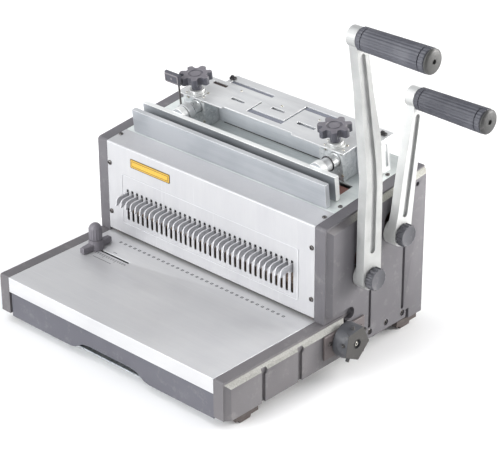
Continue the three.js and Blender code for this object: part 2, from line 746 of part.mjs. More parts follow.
function knobNut(x) {
  const washer = rodZ(12, 46.1, 47.6, 0, 0);
  const nut = rodZ(9.5, 47.5, 52, 0, 0);
  return carve(fuse(washer, nut), rodZ(4.5, 40, 60, 0, 0, 12)).translate(x, STAR_V, 0);
}

// Collar on the left guide pin, with a thin rod up to a thumb tab.
function jawLockLever() {
  const rodAt = GUIDE_PIN_X[0] - 6;
  const v = 73.5;
  const ring = rodY(12.5, 71, 80, GUIDE_PIN_X[0], GUIDE_PIN_W);
  const rod = rodZ(1.3, GUIDE_PIN_W + 9, 68, rodAt, v, 10);
  const tab = extrude(polygon([-21, 0], [4, 0], [4, 14.5], [-21, 14.5]), 6, 1.2);
  tab.rotateX(Math.PI / 2).translate(rodAt, v + 2.5, 66.5);
  return carve(fuse(ring, rod, tab), rodY(GUIDE_PIN_R + 0.35, 60, 90, GUIDE_PIN_X[0], GUIDE_PIN_W));
}

part("closing_shaft", closingShaft(), toolSteel);
part("deck_plate", deckPlate(), deckSteel, deck);
part("closer_base", box(-160, 160, 64, 90, -12, -2.4), primerSteel, deck);
part("front_jaw", box(-161.5, 161.5, 36, 43, GAP, 32), zincSteel, deck);
part("rear_jaw", rearJaw(), zincSteel, deck);
part("closer_crosshead", crosshead(), toolSteel, deck);
part("closer_bracket_left", bracket(-127, -91, GUIDE_PIN_X[0]), zincSteel, deck);
part("closer_bracket_right", bracket(101, 138, GUIDE_PIN_X[1]), zincSteel, deck);
part("closer_wall", closerWall(), deckSteel, deck);
part("bridge_plate", bridgePlate(), castAluminium, deck);
["left", "right"].forEach((side, i) => {
  const x = GUIDE_PIN_X[i];
  part(`guide_pin_${side}`, rodY(GUIDE_PIN_R, 70.3, 148.8, x, GUIDE_PIN_W), polishedSteel, deck);
  part(`star_knob_${side}`, starKnob(x), charcoalPlastic, deck);
  part(`knob_nut_${side}`, knobNut(x), polishedSteel, deck);
});
part("jaw_lock_lever", jawLockLever(), charcoalPlastic, deck);

// ---------------------------------------------------------------- margin selector and edge guide

function marginPlate() {
  const shape = polygon([-9, -40.5], [64, -40.5], [64, -8.6], [-9, -8.6]);
  return carve(sideSlab(shape, CHEEK_X + GAP, 200.8, 0.8), MARGIN_BORE);
}

// Round at the back, five flats towards the front face, a small boss on each flat.
function marginKnob() {
  const start = 201.1;
  const end = 221;
  const round = rodX(22.5, start, end, 0, 0, 30);
  const flats = new THREE.CylinderGeometry(22.8, 30, end - start, 5).rotateZ(-Math.PI / 2);
  flats.translate((start + end) / 2, 0, 0).rotateX(THREE.MathUtils.degToRad(-29.5));
  const bosses = [];
  for (let i = 0; i < 5; i += 1) {
    const boss = rodZ(2.3, 14, 24.4, start + 14.5, 0, 8);
    bosses.push(boss.rotateX(THREE.MathUtils.degToRad(6.5 + 72 * i)));
  }
  const recess = rodX(6.2, end - 3, end + 5, 0, 0);
  const screw = rodX(3.6, end - 5, end - 1.2, 0, 0, 8);
  const shaft = rodX(4, 162, start + 2, 0, 0, 12);
  const head = fuse(carve(overlap(round, flats), recess), screw, ...bosses, shaft);
  return head.translate(0, MARGIN_AXIS.y, MARGIN_AXIS.z);
}

function edgeGuideBar() {
  const outline = polygon([-3.5, -24], [3.5, -24], [5, -11], [5, 11], [3.5, 24], [-3.5, 24],
    [-5, 11], [-5, -11]);
  const bar = extrude(outline, 8.5, 1).translate(0, 0, GAP);
  const boss = rodZ(10.5, GAP, 13.6, 0, 0, 16, 9);
  const stem = box(-4, 4, -1.4, 1.4, -5, 2);
  const retainer = box(-6, 6, -8, 8, -6, -SHEET - GAP);
  return fuse(bar, boss, stem, retainer).translate(EDGE_GUIDE.x, EDGE_GUIDE.y, 0);
}

function edgeGuideKnob() {
  const body = extrude(flutedDisc(8, 8.8, 8), 16).translate(0, 0, 13.9);
  const dome = rodZ(8, 29.8, 33.6, 0, 0, 16, 6.2);
  const tip = rodZ(6.2, 33.5, 36, 0, 0, 16, 3);
  return fuse(body, dome, tip).translate(EDGE_GUIDE.x, EDGE_GUIDE.y, 0);
}

part("margin_plate", marginPlate(), slatePlastic);
part("margin_knob", marginKnob(), slatePlastic);
part("edge_guide_bar", edgeGuideBar(), charcoalPlastic);
part("edge_guide_knob", edgeGuideKnob(), charcoalPlastic);

export default assembly;
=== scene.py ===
"""Looks for the wire-comb punch and closer: materials, detailed pieces, light and camera.

Pieces are drawn in millimetres and placed by one of two matrices. WORK is the machine's own frame (x = 0
mid-width, y = 0 front panel, z = 0 tray top). DECK is the tilted deck's frame (x across, v up the slope, w
off the deck).
"""

import json
import math

import bmesh
import bpy
from mathutils import Matrix, Vector

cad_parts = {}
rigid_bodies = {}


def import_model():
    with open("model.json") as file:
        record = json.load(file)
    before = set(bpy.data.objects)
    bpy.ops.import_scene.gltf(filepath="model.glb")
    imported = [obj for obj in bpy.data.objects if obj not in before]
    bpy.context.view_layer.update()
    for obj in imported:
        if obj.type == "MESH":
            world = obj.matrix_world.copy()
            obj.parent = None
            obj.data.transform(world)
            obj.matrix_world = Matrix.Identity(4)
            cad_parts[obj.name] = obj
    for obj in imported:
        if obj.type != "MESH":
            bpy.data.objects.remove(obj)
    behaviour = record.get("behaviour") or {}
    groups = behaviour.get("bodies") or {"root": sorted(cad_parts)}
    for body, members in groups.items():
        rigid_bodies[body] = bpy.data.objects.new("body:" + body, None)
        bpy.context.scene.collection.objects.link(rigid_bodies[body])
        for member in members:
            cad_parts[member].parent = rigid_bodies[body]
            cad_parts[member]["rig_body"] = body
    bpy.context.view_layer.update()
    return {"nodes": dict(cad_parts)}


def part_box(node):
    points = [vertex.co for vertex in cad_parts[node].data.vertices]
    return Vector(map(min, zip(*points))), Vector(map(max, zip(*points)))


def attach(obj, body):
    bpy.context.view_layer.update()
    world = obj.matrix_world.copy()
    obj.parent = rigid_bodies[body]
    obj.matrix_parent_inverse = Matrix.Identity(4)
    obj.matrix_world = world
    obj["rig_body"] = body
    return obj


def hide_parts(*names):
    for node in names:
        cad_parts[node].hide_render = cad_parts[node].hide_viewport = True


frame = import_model()

# ---------------------------------------------------------------- frames and driving dimensions

panel_low, panel_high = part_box("front_panel")
ORIGIN = Vector(((panel_low.x + panel_high.x) / 2, panel_low.y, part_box("tray_sheet")[1].z))
TILT = math.radians(6.18)
DECK_Z = 127.7

WORK = Matrix.Translation(ORIGIN) @ Matrix.Scale(0.001, 4)
DECK = WORK @ Matrix.Translation((0, 0, DECK_Z)) @ Matrix.Rotation(TILT, 4, "X")

ALONG_X = Matrix.Rotation(math.pi / 2, 4, "Y")
ALONG_Y = Matrix.Rotation(-math.pi / 2, 4, "X")
FACING_FRONT = Matrix.Rotation(math.pi / 2, 4, "X")
SIDEWAYS = Matrix(((0, 0, 1, 0), (1, 0, 0, 0), (0, 1, 0, 0), (0, 0, 0, 1)))
FLAT = Matrix.Identity(4)

HOLES = 34
PITCH = 25.4 / 3
HOLE_X = [(i - (HOLES - 1) / 2) * PITCH for i in range(HOLES)]

# Lines that run along x, as (y, z).
PUNCH_AXIS = (58.5, 51.0)
PUNCH_GRIP = (29.5, 364.5)
CLOSE_AXIS = (113.5, 88.0)
CLOSE_GRIP = (137.0, 257.0)
MARGIN_AXIS = (26.0, -24.0)

# Planes across x: the lever arms' outer faces, the grips' ends, the side cover's and margin plate's faces.
ARM_FACE = 214.7
GRIP_END = 312.0
CAP_END = 316.5
COVER_FACE = 194.5
MARGIN_PLATE_FACE = 200.7

# Places on the deck, by x, v and w.
GUIDE_PIN_X = {"left": -104.0, "right": 126.0}
GUIDE_PIN_W = 28.0
STAR_V = 98.0
BRACKET_V = 95
BRIDGE_TOP = 45.8

# The rear cover's face, and the middle of the edge guide's knob as (x, y).
REAR_FACE_Y = 181.2
EDGE_GUIDE = (-152.0, -47.0)


def srgb(red, green, blue):
    """A colour given as 0 to 255 display values, as linear values."""
    linear = []
    for value in (red, green, blue):
        c = value / 255
        linear.append(c / 12.92 if c <= 0.04045 else ((c + 0.055) / 1.055) ** 2.4)
    return (*linear, 1.0)


# ---------------------------------------------------------------- materials


class Shader:
    """A material built from nodes, in object coordinates, which are the frame's metres."""

    def __init__(self, name):
        self.mat = bpy.data.materials.new(name)
        self.mat.use_nodes = True
        self.tree = self.mat.node_tree
        self.bsdf = self.tree.nodes["Principled BSDF"]
        self.coords = self.add("ShaderNodeTexCoord").outputs["Object"]

    def add(self, kind, **settings):
        node = self.tree.nodes.new(kind)
        for key, value in settings.items():
            setattr(node, key, value)
        return node

    def feed(self, socket, value):
        if isinstance(value, bpy.types.NodeSocket):
            self.tree.links.new(value, socket)
        else:
            socket.default_value = value

    def stretched(self, stretch):
        node = self.add("ShaderNodeMapping")
        self.feed(node.inputs["Vector"], self.coords)
        node.inputs["Scale"].default_value = stretch
        return node.outputs["Vector"]

    def noise(self, size_mm, detail, roughness=0.5, stretch=None, distortion=0.0):
        node = self.add("ShaderNodeTexNoise")
        self.feed(node.inputs["Vector"], self.stretched(stretch) if stretch else self.coords)
        node.inputs["Scale"].default_value = 1000.0 / size_mm
        node.inputs["Detail"].default_value = detail
        node.inputs["Roughness"].default_value = roughness
        node.inputs["Distortion"].default_value = distortion
        return node.outputs["Fac"]

    def cells(self, size_mm):
        node = self.add("ShaderNodeTexVoronoi")
        self.feed(node.inputs["Vector"], self.coords)
        node.inputs["Scale"].default_value = 1000.0 / size_mm
        return node.outputs["Color"]

    def spread(self, value, low, high, out_low=0.0, out_high=1.0):
        node = self.add("ShaderNodeMapRange")
        self.feed(node.inputs["Value"], value)
        for key, number in (("From Min", low), ("From Max", high), ("To Min", out_low), ("To Max", out_high)):
            node.inputs[key].default_value = number
        return node.outputs["Result"]

    def mix(self, factor, first, second):
        node = self.add("ShaderNodeMix", data_type="RGBA")
        colours = [s for s in node.inputs if s.type == "RGBA"]
        self.feed(node.inputs["Factor"], factor)
        self.feed(colours[0], first)
        self.feed(colours[1], second)
        return next(s for s in node.outputs if s.type == "RGBA")

    def total(self, *parts):
        """Sum of (value, weight) pairs."""
        result = None
        for value, weight in parts:
            node = self.add("ShaderNodeMath", operation="MULTIPLY_ADD")
            self.feed(node.inputs[0], value)
            node.inputs[1].default_value = weight
            self.feed(node.inputs[2], result if result is not None else 0.0)
            result = node.outputs[0]
        return result

    def bump(self, height, depth_mm):
        node = self.add("ShaderNodeBump")
        self.feed(node.inputs["Height"], height)
        node.inputs["Strength"].default_value = 1.0
        node.inputs["Distance"].default_value = depth_mm / 1000.0
        self.feed(self.bsdf.inputs["Normal"], node.outputs["Normal"])

    def surface(self, colour, roughness, metallic=0.0):
        self.feed(self.bsdf.inputs["Base Color"], colour)
        self.feed(self.bsdf.inputs["Roughness"], roughness)
        self.bsdf.inputs["Metallic"].default_value = metallic
        return self.mat


RUBBED_PLASTIC = srgb(176, 173, 170)
BRIGHT_SCRATCH = (0.86, 0.87, 0.88, 1.0)
CASTING_PIT = srgb(120, 116, 110)
TURNED_LINE = (0.8, 0.8, 0.8, 1.0)


def moulded_plastic(name, base, light, rough, grain_mm=0.9, depth_mm=0.05):
    """Spark-textured moulding: fine pebble grain, slow tone drift and a few rubbed patches."""
    s = Shader(name)
    grain = s.noise(grain_mm, 3.0, 0.6)
    drift = s.noise(70.0, 3.0, 0.55)
    rub = s.spread(s.noise(14.0, 4.0, 0.7), 0.56, 0.74)
    colour = s.mix(s.spread(drift, 0.3, 0.7), base, light)
    colour = s.mix(s.spread(grain, 0.35, 0.75, 0.0, 0.35), colour, light)
    colour = s.mix(s.total((rub, 0.16)), colour, RUBBED_PLASTIC)
    s.bump(grain, depth_mm)
    roughness = s.spread(s.total((drift, 0.7), (grain, 0.3)), 0.3, 0.7, rough - 0.07, rough + 0.09)
    return s.surface(colour, roughness)


def scuffed_and_lit_edge(name, pale, scuff, plain=None, plain_until_mm=0.0):
    """Pale edge of a moulding, broken up by fine crackle: partly scuffing, partly painted light on chamfers
    turned up to the lamps; it can stay plain towards the front.
    """
    s = Shader(name)
    crackle = s.noise(1.8, 4.0, 0.75, distortion=0.6)
    drift = s.noise(26.0, 3.0, 0.6)
    colour = s.mix(s.spread(s.total((crackle, 0.75), (drift, 0.25)), 0.4, 0.62), scuff, pale)
    if plain:
        depth = s.add("ShaderNodeSeparateXYZ")
        s.feed(depth.inputs[0], s.coords)
        start = ORIGIN.y + plain_until_mm / 1000
        wavering = s.total((depth.outputs["Y"], 1.0), (drift, 0.02))
        colour = s.mix(s.spread(wavering, start, start + 0.03), plain, colour)
    s.bump(crackle, 0.05)
    return s.surface(colour, s.spread(crackle, 0.3, 0.7, 0.36, 0.5))


def grain_stretch(along, with_grain, across=1.0):
    """Scale factors that draw a texture out along one axis."""
    return tuple(with_grain if axis == along else across for axis in "xyz")


def brushed_metal(name, base, dark, rough, along, metallic, line_mm, cloud):
    """Sheet metal with a fine grain along one axis, cloudy rolling marks and short scratches."""
    s = Shader(name)
    stretch = grain_stretch(along, 0.03)
    lines = s.noise(line_mm, 2.0, 0.6, stretch)
    streaks = s.noise(7.0, 2.0, 0.5, stretch)
    clouds = s.noise(55.0, 3.0, 0.5)
    scratch = s.spread(s.noise(1.1, 1.0, 0.4, grain_stretch(along, 0.012, 0.6)), 0.68, 0.8)
    tone = s.total((lines, 0.3), (streaks, 0.3), (clouds, 0.4 * cloud + 0.2))
    colour = s.mix(s.spread(tone, 0.32, 0.66), dark, base)
    colour = s.mix(s.total((scratch, 0.22)), colour, BRIGHT_SCRATCH)
    s.bump(s.total((lines, 1.0), (scratch, 0.4)), 0.012)
    roughness = s.spread(s.total((streaks, 0.5), (clouds, 0.5)), 0.3, 0.7, rough - 0.07, rough + 0.08)
    return s.surface(colour, roughness, metallic)


def spangled_zinc(name, base, dark, rough, size_mm=3.2, metallic=0.8):
    """Galvanised sheet: crystal flakes of slightly different tone, with a soft cloudy stain."""
    s = Shader(name)
    flake = s.add("ShaderNodeSeparateColor")
    s.feed(flake.inputs["Color"], s.cells(size_mm))
    clouds = s.noise(24.0, 4.0, 0.6)
    fine = s.noise(0.8, 2.0, 0.6)
    tone = s.total((flake.outputs["Red"], 0.4), (clouds, 0.45), (fine, 0.15))
    colour = s.mix(s.spread(tone, 0.28, 0.72), dark, base)
    s.bump(s.total((flake.outputs["Green"], 0.3), (fine, 0.7)), 0.02)
    roughness = s.spread(flake.outputs["Blue"], 0.0, 1.0, rough - 0.08, rough + 0.1)
    return s.surface(colour, roughness, metallic)


def cast_metal(name, base, dark, rough, metallic=0.35, pit=0.5):
    """Painted or blasted casting: orange-peel skin and small dark pits."""
    s = Shader(name)
    skin = s.noise(1.6, 3.0, 0.6)
    broad = s.noise(30.0, 3.0, 0.5)
    pits = s.spread(s.noise(1.3, 2.0, 0.7), 0.66, 0.78)
    colour = s.mix(s.spread(broad, 0.3, 0.7), dark, base)
    colour = s.mix(s.total((pits, pit)), colour, CASTING_PIT)
    s.bump(s.total((skin, 0.6), (pits, -0.9)), 0.05)
    return s.surface(colour, s.spread(skin, 0.3, 0.7, rough - 0.06, rough + 0.09), metallic)


def machined_steel(name, base, stain, rough, metallic, amount):
    """Turned or ground steel with fine lines and an oily stain, more of it with a larger amount."""
    s = Shader(name)
    rings = s.noise(0.6, 2.0, 0.5, (0.05, 1.0, 1.0))
    patch = s.noise(9.0, 4.0, 0.65)
    colour = s.mix(s.total((s.spread(patch, 0.42, 0.66), amount)), base, stain)
    colour = s.mix(s.spread(rings, 0.4, 0.7, 0.0, 0.25), colour, TURNED_LINE)
    s.bump(rings, 0.008)
    return s.surface(colour, s.spread(patch, 0.3, 0.7, rough - 0.05, rough + 0.1), metallic)


def rubber_like(name, base, dust, rough):
    """Matt rubber with a fine grain and dust in drifting patches."""
    s = Shader(name)
    grain = s.noise(0.7, 3.0, 0.6)
    drift = s.noise(22.0, 3.0, 0.6)
    colour = s.mix(s.total((s.spread(drift, 0.42, 0.72), 0.45)), base, dust)
    colour = s.mix(s.spread(grain, 0.45, 0.8, 0.0, 0.3), colour, dust)
    s.bump(s.total((grain, 1.0), (drift, 0.3)), 0.05)
    return s.surface(colour, s.spread(grain, 0.3, 0.7, rough - 0.07, rough + 0.07))


def flat_print(name, base, rough=0.5):
    """Screen-printed ink or a small enamelled plate, faintly mottled."""
    s = Shader(name)
    mottle = s.noise(2.4, 3.0, 0.6)
    lighter = tuple(min(1.0, c * 1.25 + 0.01) for c in base[:3]) + (1.0,)
    colour = s.mix(s.spread(mottle, 0.35, 0.7), base, lighter)
    s.bump(mottle, 0.01)
    return s.surface(colour, s.spread(mottle, 0.3, 0.7, rough - 0.06, rough + 0.06))


FINE_GRAIN = {"grain_mm": 0.8, "depth_mm": 0.03}

SLATE = moulded_plastic("slate_plastic", srgb(90, 88, 91), srgb(106, 103, 105), 0.5)
COVER = moulded_plastic("slate_cover_plastic", srgb(86, 84, 88), srgb(101, 99, 103), 0.5)
# Pale tones for the up-facing chamfers of rails and covers: scuffing and painted light.
RAIL_EDGE = scuffed_and_lit_edge("slate_rail_edge", srgb(142, 142, 136), srgb(112, 111, 106))
COVER_EDGE = scuffed_and_lit_edge("slate_cover_edge", srgb(176, 176, 167), srgb(138, 137, 129),
                          plain=srgb(92, 89, 92), plain_until_mm=42.0)
FASCIA = moulded_plastic("fascia_plastic", srgb(78, 78, 86), srgb(92, 92, 99), 0.5)
MARGIN = moulded_plastic("margin_plate_plastic", srgb(88, 80, 80), srgb(104, 96, 96), 0.5)
DIAL = moulded_plastic("margin_knob_plastic", srgb(60, 61, 66), srgb(76, 77, 81), 0.45, grain_mm=1.2)
# A darker copy of the dial plastic for the margin knob's outer face and rounded edges: painted shade.
DIAL_SHADED_FACE = moulded_plastic("margin_knob_shaded_face", srgb(47, 45, 44), srgb(60, 58, 56), 0.45, grain_mm=1.2)
# The charcoal plastic, made light enough for the star knobs' tops as painted light, and a darker copy of it
# that paints shade on their sides.
KNOB = moulded_plastic("charcoal_plastic", srgb(94, 91, 97), srgb(112, 109, 115), 0.42, **FINE_GRAIN)
KNOB_SHADE_TONE = moulded_plastic("charcoal_plastic_shade_tone", srgb(60, 60, 68), srgb(74, 74, 82), 0.42, **FINE_GRAIN)
KNOB_EDGE = moulded_plastic("charcoal_plastic_edge", srgb(106, 103, 106), srgb(124, 120, 123), 0.4,
                            **FINE_GRAIN)
CAP = moulded_plastic("cap_plastic", srgb(55, 55, 54), srgb(68, 68, 66), 0.42, **FINE_GRAIN)
# A darker copy of the cap plastic for the closing lever's end cap: painted shade.
CAP_SHADED = moulded_plastic("cap_plastic_shaded", srgb(47, 47, 47), srgb(59, 59, 58), 0.46, **FINE_GRAIN)
HUB = moulded_plastic("hub_cap_plastic", srgb(68, 68, 74), srgb(81, 81, 86), 0.42, **FINE_GRAIN)
BLACK = moulded_plastic("black_plastic", srgb(36, 35, 37), srgb(50, 48, 50), 0.45, **FINE_GRAIN)
DRAWER = moulded_plastic("drawer_plastic", srgb(50, 50, 54), srgb(62, 62, 67), 0.55)
GRIP = rubber_like("grip_rubber", srgb(66, 67, 75), srgb(102, 103, 109), 0.5)
FOOT = rubber_like("foot_rubber", srgb(68, 60, 58), srgb(98, 90, 87), 0.7)
PANEL = brushed_metal("panel_paint", srgb(193, 193, 194), srgb(182, 182, 185), 0.42,
                      along="z", metallic=0.3, line_mm=0.6, cloud=0.3)
PANEL_EDGE = brushed_metal("panel_edge", srgb(214, 215, 216), srgb(202, 203, 206), 0.36,
                           along="x", metallic=0.35, line_mm=0.6, cloud=0.3)
TRAY = brushed_metal("tray_steel", srgb(210, 210, 210), srgb(198, 198, 200), 0.5,
                     along="x", metallic=0.5, line_mm=0.45, cloud=0.4)
TRAY_EDGE = brushed_metal("tray_edge", srgb(232, 233, 235), srgb(220, 221, 224), 0.36,
                          along="x", metallic=0.6, line_mm=0.45, cloud=0.3)
DECKING = brushed_metal("deck_steel", srgb(222, 227, 225), srgb(198, 205, 205), 0.36,
                        along="x", metallic=0.3, line_mm=0.6, cloud=0.9)
ALUMINIUM = brushed_metal("plate_aluminium", srgb(228, 229, 229), srgb(212, 213, 214), 0.38,
                          along="x", metallic=0.6, line_mm=0.5, cloud=0.6)
ZINC = spangled_zinc("zinc_steel", srgb(206, 211, 214), srgb(156, 163, 168), 0.34)
BRACKET = spangled_zinc("bracket_zinc", srgb(222, 224, 225), srgb(188, 192, 194), 0.36,
                        size_mm=3.6, metallic=0.35)
JAW = brushed_metal("jaw_steel", srgb(174, 177, 181), srgb(152, 157, 162), 0.36,
                    along="x", metallic=0.6, line_mm=0.7, cloud=1.0)
# Lighter copies of the jaw steel for the jaws' tops, ends and rounded edges: painted light.
JAW_LIT_TOP = brushed_metal("jaw_lit_top", srgb(240, 241, 239), srgb(222, 224, 223), 0.34,
                        along="x", metallic=0.3, line_mm=0.7, cloud=0.6)
JAW_LIT_RIM = brushed_metal("jaw_lit_rim", srgb(202, 204, 206), srgb(182, 185, 188), 0.34,
                        along="x", metallic=0.4, line_mm=0.7, cloud=0.8)
WALL = brushed_metal("closer_wall_steel", srgb(208, 211, 215), srgb(188, 193, 198), 0.4,
                     along="x", metallic=0.15, line_mm=0.7, cloud=0.8)
CAST = cast_metal("cast_aluminium", srgb(180, 181, 180), srgb(162, 163, 162), 0.42)
# A lighter copy of the cast tone for the closing lever's arm: painted light.
CAST_LIT = cast_metal("cast_aluminium_lit", srgb(206, 207, 205), srgb(190, 191, 190), 0.42)
# A darker, rougher cast tone for the lever arms' grooves: painted shade in the grooves.
CAST_GROOVE_SHADE = cast_metal("cast_aluminium_groove_shade", srgb(178, 179, 178), srgb(158, 159, 159), 0.46)
CAST_EDGE = cast_metal("cast_aluminium_edge", srgb(206, 207, 206), srgb(190, 191, 190), 0.34,
                       metallic=0.4, pit=0.35)
PIN = machined_steel("guide_pin_steel", srgb(222, 224, 225), srgb(186, 186, 180), 0.3,
                     metallic=0.6, amount=0.3)
BRIGHT = machined_steel("polished_steel", srgb(214, 216, 217), srgb(168, 166, 156), 0.16,
                        metallic=0.95, amount=0.3)
NUT = machined_steel("nut_zinc", srgb(208, 209, 208), srgb(178, 178, 172), 0.34, metallic=0.55, amount=0.4)
TOOL = machined_steel("tool_steel", srgb(128, 126, 122), srgb(84, 72, 60), 0.36, metallic=0.85, amount=0.8)
HOOK = machined_steel("hook_steel", srgb(190, 190, 194), srgb(150, 150, 154), 0.36,
                      metallic=0.35, amount=0.5)
# A lighter copy of the hook steel for the hooks' rounded edges: painted highlight along them.
HOOK_LIT_EDGE = machined_steel("hook_lit_edge", srgb(226, 226, 228), srgb(206, 206, 208), 0.36,
                           metallic=0.3, amount=0.3)
PINS = machined_steel("pin_steel", srgb(126, 98, 72), srgb(70, 46, 32), 0.4, metallic=0.6, amount=0.9)
BRONZE = machined_steel("bronze", srgb(176, 138, 84), srgb(120, 86, 50), 0.34, metallic=0.9, amount=0.6)
PRIMER = cast_metal("primer", srgb(148, 106, 97), srgb(126, 86, 78), 0.6, metallic=0.0, pit=0.4)
SCREW = machined_steel("screw_black", srgb(72, 66, 64), srgb(48, 42, 40), 0.26, metallic=0.8, amount=0.6)
SILVER_SCREW = machined_steel("screw_bright", srgb(206, 204, 194), srgb(150, 140, 112), 0.22,
                              metallic=0.9, amount=0.5)
INK = flat_print("scale_ink", srgb(48, 50, 56))
PLATE = flat_print("blank_plate", srgb(196, 156, 52), 0.38)
PLATE_RIM = flat_print("blank_plate_rim", srgb(92, 74, 30), 0.4)
LINER = flat_print("bridge_liner", srgb(118, 121, 130), 0.6)
LINER_LIGHT = flat_print("bridge_liner_light", srgb(188, 190, 194), 0.5)
LINER_BROWN = flat_print("bridge_liner_brown", srgb(66, 54, 50), 0.6)

# ---------------------------------------------------------------- mesh tools

# In degrees: edges that turn by more than the first stay crisp and can be rounded, and faces that turn by
# less than the second are one face.
SHARP_ANGLE = 34
FLAT_ANGLE = 1.5
# In metres, how close two vertices are to be the same one.
WELD = 2e-5
# A radius that counts as a point on the axis.
ON_AXIS = 1e-6
# How much of a face's normal has to lie along an axis for the face to point that way.
POINTS_ALONG = 0.8


def smooth(mesh, angle=SHARP_ANGLE):
    """Shades the mesh smoothly, apart from its sharp edges."""
    mesh.polygons.foreach_set("use_smooth", [True] * len(mesh.polygons))
    mesh.set_sharp_from_angle(angle=math.radians(angle))
    mesh.update()


def add_object(name, mesh, body, materials):
    """Puts a mesh in the scene on its body, with its materials."""
    obj = bpy.data.objects.new(name, mesh)
    bpy.context.scene.collection.objects.link(obj)
    for material in materials:
        mesh.materials.append(material)
    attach(obj, body)
    return obj


def built(name, bm, place, body, materials, replaces=(), bevel=0.0, angle=SHARP_ANGLE):
    """Turns a bmesh drawn in millimetres into a piece."""
    bmesh.ops.recalc_face_normals(bm, faces=bm.faces)
    bm.transform(place)
    mesh = bpy.data.meshes.new(name)
    bm.to_mesh(mesh)
    bm.free()
    smooth(mesh, angle)
    obj = add_object(name, mesh, body, materials)
    if bevel:
        round_edges(obj, bevel, 2, len(materials) > 1)
    if replaces:
        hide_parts(*replaces)


def round_edges(obj, width_mm, segments, second_on_rounding):
    """Rounds the sharp edges; the last flag gives the rounding the second material, which on the jaws and
    hooks is painted light and on the margin knob painted shade.
    """
    obj.data.polygons.foreach_set("use_smooth", [True] * len(obj.data.polygons))
    modifier = obj.modifiers.new("rounded", "BEVEL")
    modifier.width = width_mm / 1000
    modifier.segments = segments
    modifier.limit_method = "ANGLE"
    modifier.angle_limit = math.radians(SHARP_ANGLE)
    modifier.harden_normals = True
    modifier.miter_outer = "MITER_ARC"
    modifier.material = 1 if second_on_rounding else -1


def refined(node, materials, bevel, segments=2, paint=None, second_on_rounding=None, merge=True):
    """A copy of a CAD node with rounded edges, which stands for the node.

    paint(face) picks each face's material. A flag gives the rounding the second material, and is on by
    default where there is one. merge joins the flat faces first. An open box doesn't take it: the triangles
    of its joined rim would cover the opening.
    """
    source = frame["nodes"][node]
    bm = bmesh.new()
    bm.from_mesh(source.data)
    bmesh.ops.remove_doubles(bm, verts=bm.verts, dist=WELD)
    if merge:
        bmesh.ops.dissolve_limit(bm, angle_limit=math.radians(FLAT_ANGLE), verts=bm.verts, edges=bm.edges)
    bmesh.ops.recalc_face_normals(bm, faces=bm.faces)
    if paint:
        for face in bm.faces:
            face.material_index = paint(face)
    mesh = bpy.data.meshes.new(node + "_look")
    bm.to_mesh(mesh)
    bm.free()
    smooth(mesh)
    body = source["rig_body"]
    obj = add_object(node + "_look", mesh, body, materials)
    round_edges(obj, bevel, segments, len(materials) > 1 if second_on_rounding is None else second_on_rounding)
    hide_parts(node)


def facing(*axes):
    """A paint rule: the second material for faces that point along one of the axes."""
    def rule(face):
        return int(any(getattr(face.normal, axis) > POINTS_ALONG for axis in axes))

    return rule


def join_loops(bm, first, second):
    """Faces between two closed loops with the same number of vertices."""
    for i in range(len(first)):
        j = (i + 1) % len(first)
        bm.faces.new((first[i], first[j], second[j], second[i]))


def lathe(bm, profile, place, segments, shape=None):
    """Turns (distance along, radius) points round the z axis. shape(angle, radius) scales the radius."""
    rings = []
    for along, radius in profile:
        if radius < ON_AXIS:
            rings.append([bm.verts.new(place @ Vector((0, 0, along)))])
            continue
        ring = []
        for i in range(segments):
            angle = 2 * math.pi * i / segments
            r = radius * (shape(angle, radius) if shape else 1.0)
            ring.append(bm.verts.new(place @ Vector((r * math.cos(angle), r * math.sin(angle), along))))
        rings.append(ring)
    for a, b in zip(rings, rings[1:]):
        if len(a) > 1 and len(b) > 1:
            join_loops(bm, a, b)
            continue
        for i in range(segments):
            j = (i + 1) % segments
            if len(a) == 1:
                bm.faces.new((a[0], b[j], b[i]))
            else:
                bm.faces.new((a[i], a[j], b[0]))


def slab(bm, outline, low, high, place):
    """Extrudes an outline drawn in the xy plane from z = low to z = high."""
    bottom = [bm.verts.new(place @ Vector((x, y, low))) for x, y in outline]
    top = [bm.verts.new(place @ Vector((x, y, high))) for x, y in outline]
    bm.faces.new(reversed(bottom))
    bm.faces.new(top)
    join_loops(bm, bottom, top)


def rectangle(x0, x1, y0, y1):
    return [(x0, y0), (x1, y0), (x1, y1), (x0, y1)]


def rounded_rectangle(x0, x1, y0, y1, radius):
    steps = 5
    points = []
    for cx, cy, start in (
        (x1 - radius, y1 - radius, 0),
        (x0 + radius, y1 - radius, 90),
        (x0 + radius, y0 + radius, 180),
        (x1 - radius, y0 + radius, 270),
    ):
        for i in range(steps + 1):
            angle = math.radians(start + 90 * i / steps)
            points.append((cx + radius * math.cos(angle), cy + radius * math.sin(angle)))
    return points


def ring_plate(bm, outer, inner, low, high, place):
    """A flat closed band between two outlines with the same number of points."""
    loops = []
    for outline in (outer, inner):
        for z in (low, high):
            loops.append([bm.verts.new(place @ Vector((x, y, z))) for x, y in outline])
    outer_low, outer_high, inner_low, inner_high = loops
    for i in range(len(outer)):
        j = (i + 1) % len(outer)
        bm.faces.new((outer_low[i], outer_low[j], outer_high[j], outer_high[i]))
        bm.faces.new((inner_low[j], inner_low[i], inner_high[i], inner_high[j]))
        bm.faces.new((outer_high[i], outer_high[j], inner_high[j], inner_high[i]))
        bm.faces.new((outer_low[j], outer_low[i], inner_low[i], inner_low[j]))


def screw(bm, place, radius=3.2, height=1.7):
    """A pan head with a hexagon socket."""
    def socket(angle, r):
        if r > radius * 0.5:
            return 1.0
        return 0.9 / math.cos((angle % (math.pi / 3)) - math.pi / 6)

    lathe(bm, [
        (0.0, 0.0), (0.0, radius), (height * 0.45, radius), (height * 0.8, radius * 0.88),
        (height, radius * 0.66), (height * 0.98, radius * 0.44), (height * 0.35, radius * 0.4),
        (height * 0.25, 0.0),
    ], place, 24, socket)


# ---------------------------------------------------------------- tray, rails and drawer


